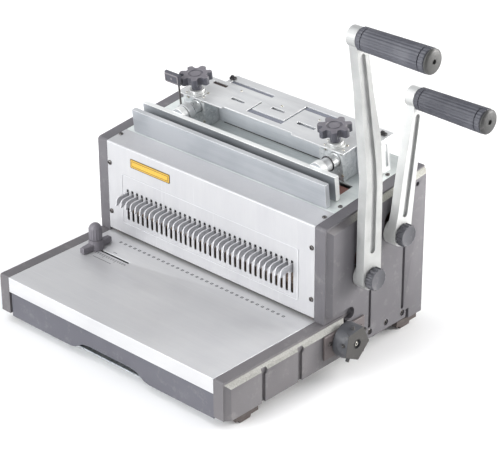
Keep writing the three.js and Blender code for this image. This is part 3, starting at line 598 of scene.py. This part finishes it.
def upper_chamfer(face):
    """Picks out the slanted strips that face up and out, which take a pale tone: partly scuffing, partly
    painted light.
    """
    return 1 if 0.35 < face.normal.z < 0.94 and abs(face.normal.x) > 0.3 else 0


refined("tray_sheet", [TRAY, TRAY_EDGE], 0.5)
for side in ("right", "left"):
    refined(f"side_rail_{side}", [SLATE, RAIL_EDGE], 0.5, paint=upper_chamfer, second_on_rounding=False)
    refined(f"foot_front_{side}", [FOOT], 0.8)
    refined(f"foot_rear_{side}", [FOOT], 0.8)
refined("drawer_front", [FASCIA], 0.6)
refined("drawer_box", [DRAWER], 0.5, merge=False)

INK_THICK = 0.04
MARK_Y, MARK_OUTER, MARK_INNER = -15, 1.8, 0.8
SCALE_Y, TICK_HALF = -53.5, 0.35


def square(x, y, half):
    return rectangle(x - half, x + half, y - half, y + half)


bm = bmesh.new()
for x in HOLE_X:
    ring_plate(bm, square(x, MARK_Y, MARK_OUTER), square(x, MARK_Y, MARK_INNER), 0.0, INK_THICK, FLAT)
built("tray_hole_marks", bm, WORK, "frame", [INK])

# The scale's ticks, their base line, and two plain strokes where the machine has fine print.
bm = bmesh.new()
for i, x in enumerate(range(-148, -88, 4)):
    reach = 5.5 if i % 5 == 0 else 3.0
    slab(bm, rectangle(x - TICK_HALF, x + TICK_HALF, SCALE_Y - reach, SCALE_Y), 0.0, INK_THICK, FLAT)
slab(bm, rectangle(-149, -91, -53.6, -53.0), 0.0, 0.05, FLAT)
for stroke in (rectangle(-140, -107, -64.2, -63.4), rectangle(-128, -121, -40.2, -39.3)):
    slab(bm, stroke, 0.0, INK_THICK, FLAT)
built("tray_scale", bm, WORK, "frame", [INK])

# ---------------------------------------------------------------- front panel

SLOT_LOW, SLOT_HIGH, SLOT_HALF = 26, 70, 2.1
BAND_LOW, BAND_HIGH = 22, 74
PANEL_HALF, PANEL_FOOT = 175, 4.6
PANEL_SHEET = 1.5
LIP_V = 34.5


def slot_loops(x):
    """The outline of one slot, and the outline of its cell with the same number of points."""
    steps = 8
    slot, cell = [], []
    for end, level, edge in ((1, SLOT_HIGH - SLOT_HALF, BAND_HIGH), (-1, SLOT_LOW + SLOT_HALF, BAND_LOW)):
        for i in range(steps + 1):
            angle = math.pi * i / steps
            slot.append((x + end * SLOT_HALF * math.cos(angle), level + end * SLOT_HALF * math.sin(angle)))
            cell.append((x + end * PITCH * (0.5 - i / steps), edge))
    return slot, cell


def slotted_face(bm, y, top):
    """One side of the sheet: a cell round each slot, and plain areas round the cells."""
    def corner(x, z):
        return bm.verts.new((x, y, z))

    upper, lower = [], []
    for x in HOLE_X:
        slot, cell = slot_loops(x)
        join_loops(bm, [corner(*point) for point in slot], [corner(*point) for point in cell])
        half = len(cell) // 2
        upper += reversed(cell[:half])
        lower += cell[half:]
    row_start, row_end = upper[0][0], upper[-1][0]
    for end, band, row in ((top, BAND_HIGH, upper), (PANEL_FOOT, BAND_LOW, lower)):
        outline = [(-PANEL_HALF, end), (-PANEL_HALF, band), *row, (PANEL_HALF, band), (PANEL_HALF, end)]
        kept = [point for i, point in enumerate(outline) if i == 0 or point != outline[i - 1]]
        bm.faces.new([corner(*point) for point in kept])
    for low, high in ((-PANEL_HALF, row_start), (row_end, PANEL_HALF)):
        bm.faces.new([corner(*point) for point in rectangle(low, high, BAND_LOW, BAND_HIGH)])


def deck_point(v, w):
    """A point of the deck's frame as (y, z) of the machine's frame."""
    return (v * math.cos(TILT) - w * math.sin(TILT), DECK_Z + v * math.sin(TILT) + w * math.cos(TILT))


bm = bmesh.new()
slotted_face(bm, 0.0, DECK_Z - 1)
slotted_face(bm, PANEL_SHEET, DECK_Z - PANEL_SHEET)
for x in HOLE_X:
    slot, _ = slot_loops(x)
    for i in range(len(slot)):
        (xa, za), (xb, zb) = slot[i], slot[(i + 1) % len(slot)]
        bm.faces.new([bm.verts.new(p) for p in (
            (xa, 0, za), (xb, 0, zb), (xb, PANEL_SHEET, zb), (xa, PANEL_SHEET, za))])
lip = [(0, DECK_Z - 1), (1, DECK_Z + 0.1), deck_point(LIP_V, 0), deck_point(LIP_V, -PANEL_SHEET),
       (PANEL_SHEET, DECK_Z - PANEL_SHEET)]
foot = [(PANEL_SHEET, PANEL_FOOT), (0, PANEL_FOOT)]
for a, b in [*zip(lip, lip[1:]), foot]:
    bm.faces.new([bm.verts.new(p) for p in (
        (-PANEL_HALF, *a), (PANEL_HALF, *a), (PANEL_HALF, *b), (-PANEL_HALF, *b))])
edge = [*lip, (PANEL_SHEET, BAND_HIGH), (PANEL_SHEET, BAND_LOW), *foot, (0, BAND_LOW), (0, BAND_HIGH)]
for x in (-PANEL_HALF, PANEL_HALF):
    bm.faces.new([bm.verts.new((x, *point)) for point in edge])
bmesh.ops.remove_doubles(bm, verts=bm.verts, dist=0.001)
built("front_panel_slotted", bm, WORK, "frame", [PANEL, PANEL_EDGE], ["front_panel"],
      bevel=0.3)

bm = bmesh.new()
ring_plate(bm, rounded_rectangle(-150, 150, 19.5, 89, 2.5), rounded_rectangle(-149, 148, 20.5, 88, 1.8),
           0.0, 0.7, FACING_FRONT)
built("panel_emboss", bm, WORK, "frame", [PANEL_EDGE], bevel=0.18)

bm = bmesh.new()
for x in (-170.7, 170.7):
    for z in (98, 29):
        screw(bm, Matrix.Translation((x, 0, z)) @ FACING_FRONT)
built("panel_screws", bm, WORK, "frame", [SCREW])

# The badge is a blank plate with a dark rim and a line printed round it.
bm = bmesh.new()
slab(bm, rounded_rectangle(-133, -63, 103, 115.5, 1.6), 0.0, 0.5, FACING_FRONT)
built("blank_plate_rim", bm, WORK, "frame", [PLATE_RIM], bevel=0.15)
bm = bmesh.new()
slab(bm, rounded_rectangle(-131.8, -64.2, 104.2, 114.3, 1.2), 0.5, 0.75, FACING_FRONT)
built("blank_plate", bm, WORK, "frame", [PLATE], bevel=0.1)
bm = bmesh.new()
ring_plate(bm, rounded_rectangle(-130.2, -65.8, 105.6, 112.9, 0.8),
           rounded_rectangle(-129.4, -66.6, 106.4, 112.1, 0.5), 0.75, 0.8, FACING_FRONT)
built("blank_plate_line", bm, WORK, "frame", [PLATE_RIM])

# ---------------------------------------------------------------- hooks

# A hook's blade from the side, as (y, z), and its two faces off the middle of its slot.
HOOK_OUTLINE = [
    (3, 65.6), (-9, 65.5), (-13.4, 65.2), (-16.4, 64.5), (-18.5, 63.3), (-19.6, 61.6), (-20, 59.2),
    (-20.2, 57), (-21, 55.6), (-21.2, 54.5), (-20.4, 53.9), (-18, 53.7), (-16.6, 54.4), (-14.4, 55.8),
    (-12, 56.5), (-7, 56.5), (-4, 55.6), (-2.4, 53.8), (3, 53.5),
]
HOOK_LEFT, HOOK_RIGHT = -1.4, 0.2

bm = bmesh.new()
for x in HOLE_X:
    slab(bm, HOOK_OUTLINE, x + HOOK_LEFT, x + HOOK_RIGHT, SIDEWAYS)
# The hooks' rounded edges take the lighter hook tone, painted highlight.
built("wire_hooks", bm, WORK, "frame", [HOOK, HOOK_LIT_EDGE], ["wire_hook_rack"], bevel=0.3)

# The bar close behind the slots, in black: painted shade inside the slots.
bm = bmesh.new()
slab(bm, rectangle(-150, 150, 52, 69), -6.0, -2.4, FACING_FRONT)
built("hook_bar_shade", bm, WORK, "frame", [BLACK], bevel=0.3)

# ---------------------------------------------------------------- covers

for side in ("right", "left"):
    refined(f"side_cover_{side}", [COVER, COVER_EDGE], 0.6, paint=upper_chamfer, second_on_rounding=False)
refined("rear_cover", [DECKING], 0.4)

for side, face_x, turn in (("right", COVER_FACE, ALONG_X), ("left", -COVER_FACE, ALONG_X.inverted())):
    bm = bmesh.new()
    for y in (78.3, 109.2, 140.6):
        screw(bm, Matrix.Translation((face_x, y, -39)) @ turn, 3.5, 1.6)
    built(f"cover_screws_{side}", bm, WORK, "frame", [SCREW])

bm = bmesh.new()
for x in (-165, 0, 165):
    for z in (-40, 132):
        screw(bm, Matrix.Translation((x, REAR_FACE_Y, z)) @ ALONG_Y, 3.2, 0.65)
built("rear_screws", bm, WORK, "frame", [SCREW])

# ---------------------------------------------------------------- levers


# A little more than the depth of the groove in a lever arm.
GROOVE_REACH = 3.2


def ribbed_grip(name, grip, body, node):
    """A rubber sleeve that widens outwards, with ribs along it and a groove round it near each end."""
    start = ARM_FACE + 0.3
    length = GRIP_END - start
    radius, flare, groove_depth = 13.8, 1.55, 1.3
    near_groove, far_groove = (7.5, 8.4), (length - 8.4, length - 7.5)
    ribs = 22

    def ribbing(angle, r):
        return 1.0 - 0.05 * (0.5 - 0.5 * math.cos(ribs * angle)) ** 2 if r > 13.0 else 1.0

    stations = [1.4, 4.0, 7.2, *near_groove, 8.7]
    stations += [14 + i * (length - 28) / 8 for i in range(9)]
    stations += [length - 8.7, *far_groove, length - 7.2, length - 3.5, length - 1.0]
    profile = [(0.0, 0.0), (0.0, 11.6), (0.5, 12.6)]
    for along in stations:
        depth = groove_depth if along in near_groove + far_groove else 0.0
        profile.append((along, radius + flare * along / length - depth))
    profile += [(length - 0.2, 14.4), (length, 12.9), (length, 0.0)]
    bm = bmesh.new()
    lathe(bm, profile, Matrix.Translation((start, *grip)) @ ALONG_X, 6 * ribs, ribbing)
    built(name, bm, WORK, body, [GRIP], [node], angle=50)


def end_cap(name, grip, body, node, plastic):
    """The domed cap on a grip's outer end, with a dimple in its middle."""
    thick = CAP_END - GRIP_END
    bm = bmesh.new()
    lathe(bm, [
        (0.3, 0.0), (0.3, 13.6), (0.6, 14.6), (2.4, 14.9), (3.4, 14.2), (thick - 0.3, 12.8), (thick, 12.2),
        (thick, 3.4), (thick - 0.4, 2.9), (2.0, 2.6), (1.8, 0.0),
    ], Matrix.Translation((GRIP_END, *grip)) @ ALONG_X, 64)
    built(name, bm, WORK, body, [plastic], [node])


def fluted_cap(name, axis, body, node):
    """The cap over a lever's hub, with flutes round its side."""
    flutes = 15

    def fluting(angle, radius):
        return 1.0 - 0.05 * (1 + math.tanh(2.4 * math.cos(flutes * angle))) if radius > 12.9 else 1.0

    bm = bmesh.new()
    lathe(bm, [
        (0.3, 0.0), (0.3, 13.2), (0.9, 14.2), (8.6, 14.2), (9.5, 13.7), (9.9, 12.9), (10.0, 12.2),
        (9.8, 11.8), (9.8, 0.0),
    ], Matrix.Translation((ARM_FACE, *axis)) @ ALONG_X, 8 * flutes, fluting)
    built(name, bm, WORK, body, [HUB], [node])


def groove_faces(face):
    """Picks out the floor and the walls of the groove in a lever arm's outer face, which take a darker tone:
    painted shade in the groove.
    """
    x = (WORK.inverted() @ face.calc_center_median()).x
    return 2 if ARM_FACE - GROOVE_REACH < x < ARM_FACE - 0.1 else 0


# The closing lever's arm takes the lighter cast tone, painted light.
for lever, axis, grip, cast, plastic in (
    ("punch", PUNCH_AXIS, PUNCH_GRIP, CAST, CAP),
    ("closing", CLOSE_AXIS, CLOSE_GRIP, CAST_LIT, CAP_SHADED),
):
    body = f"{lever}_lever"
    refined(f"{lever}_lever_arm", [cast, CAST_EDGE, CAST_GROOVE_SHADE], 1.0, 3, paint=groove_faces, second_on_rounding=True)
    ribbed_grip(f"{lever}_grip_ribbed", grip, body, f"{lever}_grip")
    # The closing lever's end cap takes the darker copy of the cap plastic, painted shade.
    end_cap(f"{lever}_end_cap", grip, body, f"{lever}_grip_cap", plastic)
    fluted_cap(f"{lever}_fluted_cap", axis, body, f"{lever}_hub_cap")

# ---------------------------------------------------------------- deck and closer

refined("deck_plate", [DECKING], 0.3)
refined("closer_base", [PRIMER], 0.6)
# The jaws' tops and rounded edges, and the rear jaw's +x end, take the lighter jaw tones: painted light.
refined("front_jaw", [JAW, JAW_LIT_RIM], 0.5, paint=facing("z"), second_on_rounding=True)
refined("rear_jaw", [JAW, JAW_LIT_TOP], 0.5, paint=facing("z", "x"), second_on_rounding=True)
refined("closer_crosshead", [TOOL], 0.5)
refined("closer_wall", [WALL], 0.3)

# A dark strip that stands for the gap under the wall: painted shade in the gap.
bm = bmesh.new()
slab(bm, rectangle(-83, 83, 119.35, 119.9), 0.05, 0.75, FLAT)
built("wall_foot_shade_line", bm, DECK, "frame", [BLACK])
refined("bridge_plate", [ALUMINIUM], 0.35)
for side in ("left", "right"):
    refined(f"closer_bracket_{side}", [BRACKET], 0.5)

# Sheets under the bridge plate, seen through its openings: the height of their tops, and (x0, x1, v0, v1).
LINERS = {
    "bridge_liner": (LINER, 43.9, ((-24, 98, 97, 109), (30, 98, 123, 151.5), (-89.8, -16, 140, 151))),
    "bridge_liner_light": (
        LINER_LIGHT, 41.6, ((-66, -34, 109.2, 119.6), (-6, 24, 122.3, 131), (44, 83, 109.2, 119.6))),
    "bridge_liner_brown": (LINER_BROWN, 43.9, ((-109.5, -82, 127, 136),)),
}
for name, (material, top, areas) in LINERS.items():
    bm = bmesh.new()
    for area in areas:
        slab(bm, rectangle(*area), top - 0.25, top, FLAT)
    built(name, bm, DECK, "frame", [material])

DECK_SCREWS = ((-171, 21.5), (-171, 50), (171, 21.5), (171, 50), (169.6, 139), (-171, 170), (171, 170))
bm = bmesh.new()
for x, v in DECK_SCREWS:
    screw(bm, Matrix.Translation((x, v, 0)), 2.9, 1.5)
built("deck_screws", bm, DECK, "frame", [SCREW])

bm = bmesh.new()
for x in GUIDE_PIN_X.values():
    for dx, dv in ((-15.3, 4), (15.3, -4), (-11.7, -6.5), (12.6, 7)):
        screw(bm, Matrix.Translation((x + dx, STAR_V + dv, BRIDGE_TOP)), 1.5, 0.9)
for x in (-60, 8, 70):
    screw(bm, Matrix.Translation((x, 133, BRIDGE_TOP)), 1.6, 0.9)
built("bridge_rivets", bm, DECK, "frame", [SILVER_SCREW])

bm = bmesh.new()
for x in GUIDE_PIN_X.values():
    for dx, w in ((-13.5, 38), (10.5, 39), (-13.5, 9), (11, 9)):
        screw(bm, Matrix.Translation((x + dx, BRACKET_V, w)) @ FACING_FRONT, 2.3, 1.2)
built("bracket_screws", bm, DECK, "frame", [SILVER_SCREW])


def guide_pin(side, x):
    """A turned pin from the rear jaw to its bracket, with a thin dark ring round it."""
    bm = bmesh.new()
    lathe(bm, [
        (70.3, 0.0), (70.3, 8.2), (70.9, 8.5), (92.6, 8.5), (92.9, 8.1), (93.6, 8.1), (93.9, 8.5),
        (148.2, 8.5), (148.8, 8.0), (148.8, 0.0),
    ], Matrix.Translation((x, 0, GUIDE_PIN_W)) @ ALONG_Y, 56)
    built(f"guide_pin_{side}_turned", bm, DECK, "rear_jaw", [PIN], [f"guide_pin_{side}"])

    bm = bmesh.new()
    ring = [(0.0, 8.4), (0.0, 9.8), (0.3, 10.1), (0.8, 10.1), (0.8, 8.4)]
    lathe(bm, ring + ring[:1], Matrix.Translation((x, 81.4, GUIDE_PIN_W)) @ ALONG_Y, 56)
    built(f"pin_ring_{side}", bm, DECK, "rear_jaw", [BLACK])


def lobed(angle, radius):
    """Seven lobes, which fade in outside the knob's dished middle."""
    weight = min(1.0, max(0.0, (radius - 11.5) / 4.0))
    return 1.0 + weight * (0.182 * math.tanh(2.6 * math.cos(7 * angle)) - 0.002)


def star_knob(side, x):
    """A lobed knob on its stud; its top faces take the lighter plastic and its sides a darker copy: painted
    light on the tops, painted shade on the sides.
    """
    bm = bmesh.new()
    lathe(bm, [
        (44.5, 0.0), (44.5, 3.6), (44.9, 4.0), (52.4, 4.0), (52.4, 6.4), (58.5, 6.6), (61.8, 7.4),
        (63.1, 10.0), (63.2, 17.0), (63.8, 18.0), (72.8, 18.0), (73.6, 17.7), (74.0, 17.0), (74.0, 10.4),
        (73.5, 9.8), (72.6, 9.4), (72.6, 7.4), (73.3, 7.0), (73.6, 6.4), (73.6, 0.0),
    ], Matrix.Translation((x, STAR_V, 0)), 112, lobed)
    top_from = 72.4
    for face in bm.faces:
        face.normal_update()
        on_top = face.calc_center_median().z > top_from and abs(face.normal.z) > 0.5
        face.material_index = 0 if on_top else 1
    built(f"star_knob_{side}_lobed", bm, DECK, f"star_knob_{side}", [KNOB, KNOB_SHADE_TONE],
          [f"star_knob_{side}"])


def knob_nut(side, x):
    """The round nut under a star knob: a flange, a groove and a collar, round the stud."""
    bm = bmesh.new()
    turned = [
        (46.1, 4.6), (46.1, 11.6), (46.5, 12.0), (47.3, 12.0), (47.6, 11.6), (47.6, 9.2), (48.0, 9.6),
        (51.2, 9.6), (51.8, 9.1), (51.9, 8.2), (51.9, 4.6),
    ]
    lathe(bm, turned + turned[:1], Matrix.Translation((x, STAR_V, 0)), 56)
    built(f"knob_nut_{side}_turned", bm, DECK, "frame", [NUT], [f"knob_nut_{side}"])


for side, x in GUIDE_PIN_X.items():
    guide_pin(side, x)
    star_knob(side, x)
    knob_nut(side, x)


def lock_lever_parts(face):
    """Bright collar, dark rod and moulded tab, told apart by their height off the deck."""
    collar_top, rod_top = 41.5, 66.0
    height = (DECK.inverted() @ face.calc_center_median()).z
    if height < collar_top:
        return 1
    return 2 if height < rod_top else 0


# The lock lever's tab takes the darker copy of the charcoal plastic, the one that paints shade on the star
# knobs' sides.
refined("jaw_lock_lever", [KNOB_SHADE_TONE, PIN, SCREW], 0.5, paint=lock_lever_parts, second_on_rounding=False)
bm = bmesh.new()
ring_plate(bm, rounded_rectangle(-130, -107, 67.6, 79.9, 1.6),
           rounded_rectangle(-128.4, -108.6, 69.2, 78.3, 1.0), -70.1, -69.4, FACING_FRONT)
lathe(bm, [(69.4, 0.0), (69.4, 1.6), (70.1, 1.7), (70.1, 0.0)],
      Matrix.Translation((-118.5, 0, 73.7)) @ ALONG_Y, 24)
built("lock_tab_rim", bm, DECK, "jaw_lock", [KNOB_EDGE], bevel=0.2)

bm = bmesh.new()
for x0, x1, v0, v1 in ((-96, -87, 148, 154), (152, 161, 147, 153)):
    slab(bm, rounded_rectangle(x0, x1, v0, v1, 1.2), BRIDGE_TOP, 48.2, FLAT)
    slab(bm, rounded_rectangle(x0 + 1.5, x1 - 3, v0 + 1.2, v1 - 1.2, 0.8), 48.2, 50.4, FLAT)
built("bridge_clips", bm, DECK, "frame", [BLACK], bevel=0.4)

# ---------------------------------------------------------------- margin selector and edge guide

refined("margin_plate", [MARGIN], 0.5)
# The knob's outer face and rounded edges take the darker dial tone, painted shade.
refined("margin_knob", [DIAL, DIAL_SHADED_FACE], 0.5, paint=facing("x"))
bm = bmesh.new()
lathe(bm, [(218.2, 0.0), (218.2, 3.2), (219.4, 3.1), (219.9, 2.2), (219.7, 1.2), (219.2, 1.1), (219.1, 0.0)],
      Matrix.Translation((0, *MARGIN_AXIS)) @ ALONG_X, 32)
built("margin_knob_screw", bm, WORK, "margin_knob", [SILVER_SCREW])
bm = bmesh.new()
for y in (-0.5, 56):
    screw(bm, Matrix.Translation((MARGIN_PLATE_FACE, y, -21)) @ ALONG_X, 3.0, 1.6)
built("margin_plate_screws", bm, WORK, "frame", [SCREW])

refined("edge_guide_bar", [KNOB, KNOB_EDGE], 0.6)


def knurled(angle, radius):
    """Fourteen shallow flutes round the widest part of the edge guide's knob."""
    return 1.0 - 0.06 * (1 + math.tanh(3.0 * math.cos(14 * angle))) / 2 if radius > 8.4 else 1.0


bm = bmesh.new()
lathe(bm, [
    (13.9, 0.0), (13.9, 8.2), (14.4, 8.7), (28.6, 8.7), (30.2, 8.1), (32.4, 6.9), (34.2, 5.2), (35.4, 3.4),
    (36.0, 1.4), (36.0, 0.0),
], Matrix.Translation((*EDGE_GUIDE, 0)), 112, knurled)
built("edge_guide_knob_fluted", bm, WORK, "edge_guide_knob", [KNOB], ["edge_guide_knob"])

# ---------------------------------------------------------------- inner pieces keep their CAD shape

INNER = {
    "base_pan": ZINC,
    "frame_plate_right": PRIMER,
    "frame_plate_left": PRIMER,
    "die_plate": TOOL,
    "punch_guide": PINS,
    "punch_bar": PINS,
    "margin_stop_bar": BRIGHT,
    "punch_shaft": TOOL,
    "closing_shaft": TOOL,
    "punch_bush_right": BRONZE,
    "punch_bush_left": BRONZE,
    "closing_bush_right": BRONZE,
    "closing_bush_left": BRONZE,
    "punch_return_spring": TOOL,
    "closing_return_spring": TOOL,
}
for node, material in INNER.items():
    for entry in frame["nodes"][node].material_slots:
        entry.link = "OBJECT"
        entry.material = material

# ---------------------------------------------------------------- floor, light and camera

bm = bmesh.new()
bmesh.ops.create_grid(bm, x_segments=1, y_segments=1, size=8.0)
floor_mesh = bpy.data.meshes.new("floor")
bm.to_mesh(floor_mesh)
bm.free()
floor = bpy.data.objects.new("floor", floor_mesh)
bpy.context.scene.collection.objects.link(floor)
pale = Shader("floor_pale")
floor_tone = pale.mix(pale.noise(300.0, 2.0), (0.94, 0.94, 0.94, 1.0), (0.96, 0.96, 0.96, 1.0))
floor_mesh.materials.append(pale.surface(floor_tone, 0.7))


def softbox(name, place, aim, size, power, tint):
    """A rectangular light that faces the point it is aimed at."""
    light = bpy.data.lights.new(name, "AREA")
    light.shape = "RECTANGLE"
    light.size, light.size_y = size
    light.energy = power
    light.color = tint
    obj = bpy.data.objects.new(name, light)
    obj.location = place
    obj.rotation_mode = "QUATERNION"
    obj.rotation_quaternion = (Vector(aim) - Vector(place)).to_track_quat("-Z", "Y")
    bpy.context.scene.collection.objects.link(obj)


softbox("key", (-0.8, -3.0, 1.35), (0, 0, 0.15), (2.4, 1.6), 102, (0.98, 0.99, 1.0))
softbox("fill", (1.7, 2.0, 0.65), (0.15, 0.05, 0.1), (1.0, 0.9), 64, (1.0, 0.985, 0.965))
softbox("top", (-0.9, -0.9, 2.5), (0, 0, 0.1), (1.8, 1.8), 27, (0.99, 0.99, 1.0))
softbox("rim", (1.2, 2.6, 1.7), (0, 0, 0.15), (2.0, 1.0), 50, (1.0, 0.99, 0.97))

# The backdrop is white low down and fades to grey overhead.
world = bpy.data.worlds.new("studio")
bpy.context.scene.world = world
world.use_nodes = True
sky = world.node_tree
height = sky.nodes.new("ShaderNodeSeparateXYZ")
sky.links.new(sky.nodes.new("ShaderNodeTexCoord").outputs["Generated"], height.inputs[0])
fade = sky.nodes.new("ShaderNodeValToRGB")
fade.color_ramp.elements[0].position = 0.25
fade.color_ramp.elements[0].color = (1.0, 1.0, 1.0, 1.0)
fade.color_ramp.elements[1].position = 0.85
fade.color_ramp.elements[1].color = (0.36, 0.37, 0.4, 1.0)
sky.links.new(height.outputs["Z"], fade.inputs["Fac"])
sky.links.new(fade.outputs["Color"], sky.nodes["Background"].inputs["Color"])
sky.nodes["Background"].inputs["Strength"].default_value = 0.88

camera_data = bpy.data.cameras.new("camera")
camera_data.sensor_width = 36.0
camera_data.lens = 145.81
camera = bpy.data.objects.new("camera", camera_data)
bpy.context.scene.collection.objects.link(camera)
azimuth, elevation, roll = math.radians(43.10), math.radians(27.506), math.radians(-0.334)
camera.location = (1.48182, -1.57456, 1.27930)
outward = Vector((math.sin(azimuth) * math.cos(elevation), -math.cos(azimuth) * math.cos(elevation),
                  math.sin(elevation)))
camera.rotation_mode = "QUATERNION"
level_view = (-outward).to_track_quat("-Z", "Y")
camera.rotation_quaternion = level_view @ Matrix.Rotation(roll, 4, "Z").to_quaternion()
camera_data.clip_start = 0.05
camera_data.clip_end = 50.0
bpy.context.scene.camera = camera
bpy.context.scene.view_settings.view_transform = "Standard"
